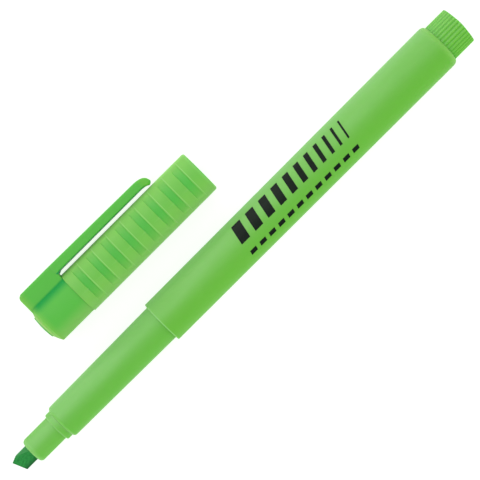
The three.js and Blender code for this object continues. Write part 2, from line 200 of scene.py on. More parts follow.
def finish_mesh(mesh: bmesh.types.BMesh, name: str, sharp_degrees: float = 38.0) -> bpy.types.Object:
    """Turns a bmesh into a smooth-shaded object with crisp edges kept.

    Args:
        mesh: The mesh, which is freed.
        name: The new object's name.
        sharp_degrees: Edges that turn more than this stay sharp.

    Returns:
        The object, linked to the scene.
    """
    bmesh.ops.recalc_face_normals(mesh, faces=mesh.faces)
    data = bpy.data.meshes.new(name)
    mesh.to_mesh(data)
    mesh.free()
    data.polygons.foreach_set("use_smooth", [True] * len(data.polygons))
    data.set_sharp_from_angle(angle=math.radians(sharp_degrees))
    made = bpy.data.objects.new(name, data)
    bpy.context.scene.collection.objects.link(made)
    weighted = made.modifiers.new("even_normals", "WEIGHTED_NORMAL")
    weighted.keep_sharp = True
    return made


def spun(
    name: str,
    axis: AxisFrame,
    outline: Sequence[Point],
    angles: Sequence[float],
    closed: bool = True,
    shape: ShapeRule | None = None,
) -> bpy.types.Object:
    """Spins an outline about an axis along X.

    Args:
        name: The new object's name.
        axis: The axis to spin about.
        outline: (x, r) points in millimetres. A point with no radius becomes a single vertex.
        angles: Angles round the axis, from +Y towards +Z, in radians.
        closed: True if the outline's last point joins its first.
        shape: Optional rule that gives the radius at (x, r, angle), for ribs and recesses.

    Returns:
        The spun piece.
    """
    mesh = bmesh.new()
    rings: list[list[bmesh.types.BMVert]] = []
    for x, r in outline:
        if r < NO_RADIUS:
            rings.append([mesh.verts.new(axis.point(x, 0, 0))])
            continue
        ring = []
        for angle in angles:
            radius = shape(x, r, angle) if shape else r
            ring.append(mesh.verts.new(axis.point(x, radius * math.cos(angle), radius * math.sin(angle))))
        rings.append(ring)
    count = len(angles)
    pairs = list(zip(rings, rings[1:]))
    if closed:
        pairs.append((rings[-1], rings[0]))
    for first, second in pairs:
        for j in range(count):
            k = (j + 1) % count
            if len(first) == 1 and len(second) == 1:
                break
            if len(first) == 1:
                mesh.faces.new((first[0], second[k], second[j]))
            elif len(second) == 1:
                mesh.faces.new((first[j], first[k], second[0]))
            else:
                mesh.faces.new((first[j], first[k], second[k], second[j]))
    return finish_mesh(mesh, name)


def lofted(name: str, rings: Sequence[Sequence[Vector]], cap_start: bool, cap_end: bool) -> bpy.types.Object:
    """Joins closed rings of equal length into one skin.

    Args:
        name: The new object's name.
        rings: Rings of places in metres.
        cap_start: True to close the first ring with one face.
        cap_end: True to close the last ring with one face.

    Returns:
        The lofted piece.
    """
    mesh = bmesh.new()
    rows = [[mesh.verts.new(spot) for spot in ring] for ring in rings]
    for first, second in zip(rows, rows[1:]):
        for j in range(len(first)):
            k = (j + 1) % len(first)
            mesh.faces.new((first[j], first[k], second[k], second[j]))
    if cap_start:
        mesh.faces.new(rows[0])
    if cap_end:
        mesh.faces.new(rows[-1])
    return finish_mesh(mesh, name)


# ---------------------------------------------------------------- shared shader effects

# A Mix node's colour sockets share their names with those of its other kinds, so they go by number.
MIX_FIRST = 6
MIX_SECOND = 7
MIX_RESULT = 2

FLOW_STRETCH = (0.18, 1.0, 1.0)
FINE_GRAIN_SHARE = 0.7
FLOW_SHARE = 0.3
VARIATION_GAIN = 4.0
CLOUD_STRETCH = (0.35, 1.0, 1.0)
EDGE_START = 0.52
EDGE_FULL = 0.62
LEAST_EDGE_WEAR = 0.35
BRISTLE_SHARE = 0.5


@dataclass
class GroupMaker:
    """Builds one shader node group with named inputs and outputs."""

    name: str
    inputs: dict[str, tuple[str, object]]
    outputs: dict[str, str]
    tree: bpy.types.NodeTree = field(init=False)
    start: bpy.types.Node = field(init=False)
    end: bpy.types.Node = field(init=False)

    def __post_init__(self) -> None:
        """Makes the empty group and its sockets."""
        self.tree = bpy.data.node_groups.new(self.name, "ShaderNodeTree")
        for label, (kind, value) in self.inputs.items():
            socket = self.tree.interface.new_socket(name=label, in_out="INPUT", socket_type=kind)
            socket.default_value = value
        for label, kind in self.outputs.items():
            self.tree.interface.new_socket(name=label, in_out="OUTPUT", socket_type=kind)
        self.start = self.tree.nodes.new("NodeGroupInput")
        self.end = self.tree.nodes.new("NodeGroupOutput")

    def add(self, kind: str, **settings: object) -> bpy.types.Node:
        """Adds a node and sets its properties."""
        return add_node(self.tree, kind, **settings)

    def link(self, source: bpy.types.NodeSocket, target: bpy.types.NodeSocket) -> None:
        """Joins two sockets."""
        self.tree.links.new(source, target)


def add_node(tree: bpy.types.NodeTree, kind: str, **settings: object) -> bpy.types.Node:
    """Adds a node to a tree.

    Args:
        tree: The tree.
        kind: The node's type name.
        **settings: Properties by name; a name that is an input's, with _ for each space, sets that input.

    Returns:
        The new node.
    """
    node = tree.nodes.new(kind)
    for key, value in settings.items():
        label = key.replace("_", " ")
        if hasattr(node, key):
            setattr(node, key, value)
        else:
            node.inputs[label].default_value = value
    return node


def maths(maker: GroupMaker, operation: str, first: object, second: object = 0.0) -> bpy.types.NodeSocket:
    """Adds a Math node to a group.

    Args:
        maker: The group.
        operation: The Math node's operation.
        first: A socket or a number.
        second: A socket or a number.

    Returns:
        The node's output.
    """
    node = maker.add("ShaderNodeMath", operation=operation)
    for slot, value in enumerate((first, second)):
        if isinstance(value, bpy.types.NodeSocket):
            maker.link(value, node.inputs[slot])
        else:
            node.inputs[slot].default_value = value
    return node.outputs[0]


def put_out_mix(maker: GroupMaker, factor: bpy.types.NodeSocket, first: str, second: str) -> None:
    """Mixes two of a group's colour inputs and puts the result out as its Color.

    Args:
        maker: The group.
        factor: How much of the second colour shows.
        first: The first colour input's name.
        second: The second colour input's name.
    """
    mix = maker.add("ShaderNodeMix", data_type="RGBA", clamp_factor=True)
    maker.link(factor, mix.inputs["Factor"])
    maker.link(maker.start.outputs[first], mix.inputs[MIX_FIRST])
    maker.link(maker.start.outputs[second], mix.inputs[MIX_SECOND])
    maker.link(mix.outputs[MIX_RESULT], maker.end.inputs["Color"])


def moulded_grain_group() -> bpy.types.NodeTree:
    """Fine satin texture of a spark-eroded mould, with slight flow marks along the part.

    Returns:
        A group with Height and Roughness outputs.
    """
    maker = GroupMaker(
        "moulded_grain",
        {
            "Grain Scale": ("NodeSocketFloat", 9000.0),
            "Flow Scale": ("NodeSocketFloat", 260.0),
            "Roughness": ("NodeSocketFloat", 0.4),
            "Variation": ("NodeSocketFloat", 0.06),
        },
        {"Height": "NodeSocketFloat", "Roughness": "NodeSocketFloat"},
    )
    place = maker.add("ShaderNodeTexCoord")
    grain = maker.add("ShaderNodeTexNoise", Detail=3.0, Roughness=0.6)
    maker.link(place.outputs["Object"], grain.inputs["Vector"])
    maker.link(maker.start.outputs["Grain Scale"], grain.inputs["Scale"])
    stretch = maker.add("ShaderNodeMapping")
    stretch.inputs["Scale"].default_value = FLOW_STRETCH
    maker.link(place.outputs["Object"], stretch.inputs["Vector"])
    flow = maker.add("ShaderNodeTexNoise", Detail=2.0)
    maker.link(stretch.outputs["Vector"], flow.inputs["Vector"])
    maker.link(maker.start.outputs["Flow Scale"], flow.inputs["Scale"])
    fine = maths(maker, "MULTIPLY", grain.outputs["Fac"], FINE_GRAIN_SHARE)
    broad = maths(maker, "MULTIPLY", flow.outputs["Fac"], FLOW_SHARE)
    maker.link(maths(maker, "ADD", fine, broad), maker.end.inputs["Height"])
    centred = maths(maker, "SUBTRACT", flow.outputs["Fac"], 0.5)
    spread = maths(maker, "MULTIPLY", centred, maker.start.outputs["Variation"])
    scaled = maths(maker, "MULTIPLY", spread, VARIATION_GAIN)
    maker.link(maths(maker, "ADD", maker.start.outputs["Roughness"], scaled), maker.end.inputs["Roughness"])
    return maker.tree


def milky_tint_group() -> bpy.types.NodeTree:
    """Cloudy colour of a dyed, slightly milky plastic.

    Returns:
        A group with a Color output between a light and a deep tint.
    """
    maker = GroupMaker(
        "milky_tint",
        {
            "Light": ("NodeSocketColor", (0.5, 0.5, 0.5, 1.0)),
            "Deep": ("NodeSocketColor", (0.3, 0.3, 0.3, 1.0)),
            "Cloud Scale": ("NodeSocketFloat", 90.0),
            "Balance": ("NodeSocketFloat", 0.5),
        },
        {"Color": "NodeSocketColor"},
    )
    place = maker.add("ShaderNodeTexCoord")
    stretch = maker.add("ShaderNodeMapping")
    stretch.inputs["Scale"].default_value = CLOUD_STRETCH
    maker.link(place.outputs["Object"], stretch.inputs["Vector"])
    cloud = maker.add("ShaderNodeTexNoise", Detail=3.0, Roughness=0.5)
    maker.link(stretch.outputs["Vector"], cloud.inputs["Vector"])
    maker.link(maker.start.outputs["Cloud Scale"], cloud.inputs["Scale"])
    centred = maths(maker, "SUBTRACT", cloud.outputs["Fac"], 0.5)
    factor = maths(maker, "ADD", centred, maker.start.outputs["Balance"])
    put_out_mix(maker, factor, "Light", "Deep")
    return maker.tree


def worn_edge_group() -> bpy.types.NodeTree:
    """Paler colour along edges that have been handled and rubbed.

    Returns:
        A group that takes a Color and puts out a Color with lighter edges.
    """
    maker = GroupMaker(
        "worn_edge",
        {
            "Color": ("NodeSocketColor", (0.5, 0.5, 0.5, 1.0)),
            "Edge Color": ("NodeSocketColor", (0.8, 0.8, 0.8, 1.0)),
            "Amount": ("NodeSocketFloat", 0.3),
        },
        {"Color": "NodeSocketColor"},
    )
    shape = maker.add("ShaderNodeNewGeometry")
    place = maker.add("ShaderNodeTexCoord")
    patch = maker.add("ShaderNodeTexNoise", Scale=700.0, Detail=2.0)
    maker.link(place.outputs["Object"], patch.inputs["Vector"])
    ramp = maker.add("ShaderNodeMapRange", From_Min=EDGE_START, From_Max=EDGE_FULL)
    maker.link(shape.outputs["Pointiness"], ramp.inputs["Value"])
    uneven = maths(maker, "ADD", patch.outputs["Fac"], LEAST_EDGE_WEAR)
    broken = maths(maker, "MULTIPLY", ramp.outputs["Result"], uneven)
    factor = maths(maker, "MULTIPLY", broken, maker.start.outputs["Amount"])
    put_out_mix(maker, factor, "Color", "Edge Color")
    return maker.tree


def light_and_shade_band_group() -> bpy.types.NodeTree:
    """A soft band of painted light or shade across the part: painted highlights on rims and flanks, painted
    shade in creases, joints and along the middle of the cap.

    Returns:
        A group that takes a Color and puts out a Color with the band mixed in.
    """
    maker = GroupMaker(
        "light_and_shade_band",
        {
            "Color": ("NodeSocketColor", (0.5, 0.5, 0.5, 1.0)),
            "Zone Color": ("NodeSocketColor", (0.3, 0.3, 0.3, 1.0)),
            "Direction": ("NodeSocketVector", (1.0, 0.0, 0.0)),
            "Offset": ("NodeSocketFloat", 0.0),
            "Before": ("NodeSocketFloat", 0.001),
            "After": ("NodeSocketFloat", 0.001),
            "Amount": ("NodeSocketFloat", 1.0),
        },
        {"Color": "NodeSocketColor"},
    )
    place = maker.add("ShaderNodeTexCoord")
    along = maker.add("ShaderNodeVectorMath", operation="DOT_PRODUCT")
    maker.link(place.outputs["Object"], along.inputs[0])
    maker.link(maker.start.outputs["Direction"], along.inputs[1])
    away = maths(maker, "SUBTRACT", along.outputs["Value"], maker.start.outputs["Offset"])
    ahead = maths(maker, "GREATER_THAN", away, 0.0)
    spread_gain = maths(maker, "SUBTRACT", maker.start.outputs["After"], maker.start.outputs["Before"])
    spread = maths(maker, "ADD", maths(maker, "MULTIPLY", ahead, spread_gain), maker.start.outputs["Before"])
    ratio = maths(maker, "DIVIDE", maths(maker, "ABSOLUTE", away), spread)
    fade = maker.add("ShaderNodeMapRange", interpolation_type="SMOOTHSTEP", To_Min=1.0, To_Max=0.0)
    maker.link(ratio, fade.inputs["Value"])
    factor = maths(maker, "MULTIPLY", fade.outputs["Result"], maker.start.outputs["Amount"])
    put_out_mix(maker, factor, "Color", "Zone Color")
    return maker.tree


def relief_light_and_shade_group() -> bpy.types.NodeTree:
    """Painted shade where a round wall is sunk below its full radius, in recesses and between ribs; with the
    two radii swapped it paints a highlight on raised places instead.

    Returns:
        A group that takes a Color and puts out a Color with painted shade in the sunk places.
    """
    maker = GroupMaker(
        "relief_light_and_shade",
        {
            "Color": ("NodeSocketColor", (0.5, 0.5, 0.5, 1.0)),
            "Sunk Color": ("NodeSocketColor", (0.3, 0.3, 0.3, 1.0)),
            "Axis": ("NodeSocketVector", (0.0, 0.0, 0.0)),
            "Full Radius": ("NodeSocketFloat", 0.005),
            "Sunk Radius": ("NodeSocketFloat", 0.0048),
            "Crown Power": ("NodeSocketFloat", 2.0),
            "Amount": ("NodeSocketFloat", 1.0),
        },
        {"Color": "NodeSocketColor"},
    )
    place = maker.add("ShaderNodeTexCoord")
    offset = maker.add("ShaderNodeVectorMath", operation="SUBTRACT")
    maker.link(place.outputs["Object"], offset.inputs[0])
    maker.link(maker.start.outputs["Axis"], offset.inputs[1])
    split = maker.add("ShaderNodeSeparateXYZ")
    maker.link(offset.outputs["Vector"], split.inputs["Vector"])
    squares = [maths(maker, "POWER", maths(maker, "ABSOLUTE", split.outputs[a]), 2.0) for a in ("Y", "Z")]
    radius = maths(maker, "SQRT", maths(maker, "ADD", *squares))
    depth = maker.add("ShaderNodeMapRange", interpolation_type="SMOOTHSTEP")
    maker.link(radius, depth.inputs["Value"])
    maker.link(maker.start.outputs["Full Radius"], depth.inputs["From Min"])
    maker.link(maker.start.outputs["Sunk Radius"], depth.inputs["From Max"])
    # The painted shade is strongest where the wall faces straight up or down, as Crown Power sets.
    upright = maths(maker, "DIVIDE", maths(maker, "ABSOLUTE", split.outputs["Z"]), radius)
    crown = maths(maker, "POWER", upright, maker.start.outputs["Crown Power"])
    shown = maths(maker, "MULTIPLY", depth.outputs["Result"], crown)
    factor = maths(maker, "MULTIPLY", shown, maker.start.outputs["Amount"])
    put_out_mix(maker, factor, "Color", "Sunk Color")
    return maker.tree


def fibre_group() -> bpy.types.NodeTree:
    """Streaks of bundled fibres that run along X.

    Returns:
        A group with Mask and Height outputs.
    """
    maker = GroupMaker(
        "bundled_fibres",
        {"Strand Scale": ("NodeSocketFloat", 5200.0), "Length Share": ("NodeSocketFloat", 0.06)},
        {"Mask": "NodeSocketFloat", "Height": "NodeSocketFloat"},
    )
    place = maker.add("ShaderNodeTexCoord")
    split = maker.add("ShaderNodeSeparateXYZ")
    maker.link(place.outputs["Object"], split.inputs["Vector"])
    join = maker.add("ShaderNodeCombineXYZ")
    shortened = maths(maker, "MULTIPLY", split.outputs["X"], maker.start.outputs["Length Share"])
    maker.link(shortened, join.inputs["X"])
    maker.link(split.outputs["Y"], join.inputs["Y"])
    maker.link(split.outputs["Z"], join.inputs["Z"])
    strands = maker.add("ShaderNodeTexNoise", Detail=4.0, Roughness=0.65)
    maker.link(join.outputs["Vector"], strands.inputs["Vector"])
    maker.link(maker.start.outputs["Strand Scale"], strands.inputs["Scale"])
    bristle = maker.add("ShaderNodeTexVoronoi", feature="F1")
    maker.link(join.outputs["Vector"], bristle.inputs["Vector"])
    maker.link(maker.start.outputs["Strand Scale"], bristle.inputs["Scale"])
    maker.link(strands.outputs["Fac"], maker.end.inputs["Mask"])
    rough = maths(maker, "MULTIPLY", bristle.outputs["Distance"], BRISTLE_SHARE)
    maker.link(maths(maker, "ADD", rough, strands.outputs["Fac"]), maker.end.inputs["Height"])
    return maker.tree


@dataclass
class Effects:
    """The node groups that the finishes share."""

    grain: bpy.types.NodeTree = field(default_factory=moulded_grain_group)
    tint: bpy.types.NodeTree = field(default_factory=milky_tint_group)
    edge: bpy.types.NodeTree = field(default_factory=worn_edge_group)
    zone: bpy.types.NodeTree = field(default_factory=light_and_shade_band_group)
    sunk: bpy.types.NodeTree = field(default_factory=relief_light_and_shade_group)
    fibres: bpy.types.NodeTree = field(default_factory=fibre_group)


# ---------------------------------------------------------------- finishes


def new_material(name: str) -> tuple[bpy.types.Material, bpy.types.NodeTree, bpy.types.Node]:
    """Makes a node material.

    Args:
        name: The material's name.

    Returns:
        The material, its tree and its Principled shader.
    """
    material = bpy.data.materials.new(name)
    material.use_nodes = True
    tree = material.node_tree
    return material, tree, tree.nodes["Principled BSDF"]


def place_group(tree: bpy.types.NodeTree, group: bpy.types.NodeTree, **values: object) -> bpy.types.Node:
    """Places a shared effect in a material.

    Args:
        tree: The material's tree.
        group: The shared node group.
        **values: Input values by name, with _ for each space.

    Returns:
        The group's node.
    """
    node = tree.nodes.new("ShaderNodeGroup")
    node.node_tree = group
    for key, value in values.items():
        node.inputs[key.replace("_", " ")].default_value = value
    return node


def rgba(colour: Colour) -> tuple[float, float, float, float]:
    """Returns a colour with full alpha."""
    return (*colour, 1.0)


class Run(Enum):
    """Which way a band of painted light or shade is measured."""

    ALONG = (1.0, 0.0, 0.0)
    ACROSS = (0.0, 1.0, 0.0)


@dataclass(frozen=True)
class Zone:
    """A soft band of painted light or shade; its place and spreads are in metres."""

    colour: Colour
    run: Run
    offset: float
    before: float
    after: float
    amount: float = 1.0


@dataclass(frozen=True)
class Sunk:
    """Painted shade in places sunk below a round wall's full radius, or a painted highlight on raised places
    when the radii are swapped; radii in metres.
    """

    colour: Colour
    axis: AxisFrame
    full_radius: float
    sunk_radius: float
    crown_power: float = 0.0
    amount: float = 1.0


def add_zones(
    tree: bpy.types.NodeTree, effects: Effects, colour: bpy.types.NodeSocket, zones: Sequence[Zone]
) -> bpy.types.NodeSocket:
    """Mixes bands of painted light and shade into a colour, one after another.

    Args:
        tree: The material's tree.
        effects: The shared node groups.
        colour: The colour to start from.
        zones: The bands.

    Returns:
        The mixed colour's socket.
    """
    for zone in zones:
        band = place_group(
            tree,
            effects.zone,
            Zone_Color=rgba(zone.colour),
            Direction=zone.run.value,
            Offset=zone.offset,
            Before=zone.before,
            After=zone.after,
            Amount=zone.amount,
        )
        tree.links.new(colour, band.inputs["Color"])
        colour = band.outputs["Color"]
    return colour


@dataclass(frozen=True)
class SatinPlastic:
    """Moulded, dyed polypropylene that lets some light through."""

    name: str
    light: Colour
    deep: Colour
    zones: tuple[Zone, ...] = ()
    sunk: tuple[Sunk, ...] = ()
    roughness: float = 0.64
    balance: float = 0.5
    gloss: float = 0.25
    sheen: float = 0.0
    sheen_tint: Colour = (1.0, 1.0, 1.0)
    scatter: float = 0.35
    scatter_reach: Colour = (0.5, 1.0, 0.3)
    scatter_depth: float = 0.0012
    sheen_roughness: float = 0.4
    ior: float = 1.49
    grain_depth: float = 0.00001
    grain_strength: float = 0.35
    edge_wear: float = 0.25
    edge_share: float = 0.8
    edge_lift: float = 0.12

    def tinted(self, tree: bpy.types.NodeTree, effects: Effects) -> bpy.types.NodeSocket:
        """Builds the colour: cloudy dye, bands of painted light and shade, painted shade in sunk places and
        painted highlights on raised ones, and rubbed edges.

        Args:
            tree: The material's tree.
            effects: The shared node groups.

        Returns:
            The colour's socket.
        """
        tint = place_group(
            tree, effects.tint, Light=rgba(self.light), Deep=rgba(self.deep), Balance=self.balance
        )
        colour = add_zones(tree, effects, tint.outputs["Color"], self.zones)
        steps = []
        for sunk in self.sunk:
            steps.append(place_group(
                tree,
                effects.sunk,
                Sunk_Color=rgba(sunk.colour),
                Axis=tuple(sunk.axis.origin),
                Full_Radius=sunk.full_radius,
                Sunk_Radius=sunk.sunk_radius,
                Crown_Power=sunk.crown_power,
                Amount=sunk.amount,
            ))
        pale = tuple(min(1.0, c * self.edge_share + self.edge_lift) for c in self.light)
        steps.append(place_group(tree, effects.edge, Edge_Color=rgba(pale), Amount=self.edge_wear))
        for step in steps:
            tree.links.new(colour, step.inputs["Color"])
            colour = step.outputs["Color"]
        return colour

    def make(self, effects: Effects) -> bpy.types.Material:
        """Builds the material.

        Args:
            effects: The shared node groups.

        Returns:
            The material.
        """
        material, tree, shader = new_material(self.name)
        grain = place_group(tree, effects.grain, Roughness=self.roughness)
        bump = add_node(tree, "ShaderNodeBump", Strength=self.grain_strength, Distance=self.grain_depth)
        tree.links.new(self.tinted(tree, effects), shader.inputs["Base Color"])
        tree.links.new(grain.outputs["Roughness"], shader.inputs["Roughness"])
        tree.links.new(grain.outputs["Height"], bump.inputs["Height"])
        tree.links.new(bump.outputs["Normal"], shader.inputs["Normal"])
        shader.inputs["IOR"].default_value = self.ior
        shader.inputs["Specular IOR Level"].default_value = self.gloss
        shader.inputs["Sheen Weight"].default_value = self.sheen
        shader.inputs["Sheen Roughness"].default_value = self.sheen_roughness
        shader.inputs["Sheen Tint"].default_value = rgba(self.sheen_tint)
        shader.inputs["Subsurface Weight"].default_value = self.scatter
        shader.inputs["Subsurface Radius"].default_value = self.scatter_reach
        shader.inputs["Subsurface Scale"].default_value = self.scatter_depth
        return material


@dataclass(frozen=True)
class InkedFibre:
    """Bonded fibre, damp with ink."""

    name: str
    strand: Colour
    gap: Colour
    zones: tuple[Zone, ...] = ()
    roughness: float = 0.7
    damp_spread: float = 0.12
    gloss: float = 0.12
    strand_scale: float = 5200.0
    strand_start: float = 0.35
    strand_full: float = 0.65
    relief: float = 0.00006
    relief_strength: float = 0.7

    def make(self, effects: Effects) -> bpy.types.Material:
        """Builds the material.

        Args:
            effects: The shared node groups.

        Returns:
            The material.
        """
        material, tree, shader = new_material(self.name)
        fibres = place_group(tree, effects.fibres, Strand_Scale=self.strand_scale)
        ramp = add_node(tree, "ShaderNodeMapRange", From_Min=self.strand_start, From_Max=self.strand_full)
        mix = add_node(tree, "ShaderNodeMix", data_type="RGBA", clamp_factor=True)
        mix.inputs[MIX_FIRST].default_value = rgba(self.gap)
        mix.inputs[MIX_SECOND].default_value = rgba(self.strand)
        damp = self.roughness - self.damp_spread
        dry = self.roughness + self.damp_spread
        wet = add_node(tree, "ShaderNodeMapRange", To_Min=damp, To_Max=dry)
        bump = add_node(tree, "ShaderNodeBump", Strength=self.relief_strength, Distance=self.relief)
        tree.links.new(fibres.outputs["Mask"], ramp.inputs["Value"])
        tree.links.new(ramp.outputs["Result"], mix.inputs["Factor"])
        tree.links.new(fibres.outputs["Mask"], wet.inputs["Value"])
        colour = add_zones(tree, effects, mix.outputs[MIX_RESULT], self.zones)
        tree.links.new(colour, shader.inputs["Base Color"])
        tree.links.new(wet.outputs["Result"], shader.inputs["Roughness"])
        tree.links.new(fibres.outputs["Height"], bump.inputs["Height"])
        tree.links.new(bump.outputs["Normal"], shader.inputs["Normal"])
        shader.inputs["Specular IOR Level"].default_value = self.gloss
        return material


@dataclass(frozen=True)
class PrintedInk:
    """Screen-printed ink with a slightly uneven edge to its gloss."""

    name: str
    colour: Colour = (0.002, 0.008, 0.003)
    thin_lift: float = 0.006
    cloud_scale: float = 2400.0
    balance: float = 0.6
    roughness: float = 0.85
    variation: float = 0.12
    gloss: float = 0.08

    def make(self, effects: Effects) -> bpy.types.Material:
        """Builds the material.

        Args:
            effects: The shared node groups.

        Returns:
            The material.
        """
        material, tree, shader = new_material(self.name)
        thin = tuple(c + self.thin_lift for c in self.colour)
        tint = place_group(
            tree,
            effects.tint,
            Light=rgba(thin),
            Deep=rgba(self.colour),
            Cloud_Scale=self.cloud_scale,
            Balance=self.balance,
        )
        grain = place_group(tree, effects.grain, Roughness=self.roughness, Variation=self.variation)
        tree.links.new(tint.outputs["Color"], shader.inputs["Base Color"])
        tree.links.new(grain.outputs["Roughness"], shader.inputs["Roughness"])
        shader.inputs["Specular IOR Level"].default_value = self.gloss
        return material


@dataclass(frozen=True)
class ClearFilm:
    """Thin clear film with faint flow marks."""

    name: str
    colour: Colour = (0.8, 0.88, 0.77)
    deep_share: float = 0.9
    cloud_scale: float = 300.0
    roughness: float = 0.2
    alpha: float = 0.45

    def make(self, effects: Effects) -> bpy.types.Material:
        """Builds the material.

        Args:
            effects: The shared node groups.

        Returns:
            The material.
        """
        material, tree, shader = new_material(self.name)
        deep = tuple(c * self.deep_share for c in self.colour)
        tint = place_group(
            tree, effects.tint, Light=rgba(self.colour), Deep=rgba(deep), Cloud_Scale=self.cloud_scale
        )
        grain = place_group(tree, effects.grain, Roughness=self.roughness)
        tree.links.new(tint.outputs["Color"], shader.inputs["Base Color"])
        tree.links.new(grain.outputs["Roughness"], shader.inputs["Roughness"])
        shader.inputs["Alpha"].default_value = self.alpha
        return material


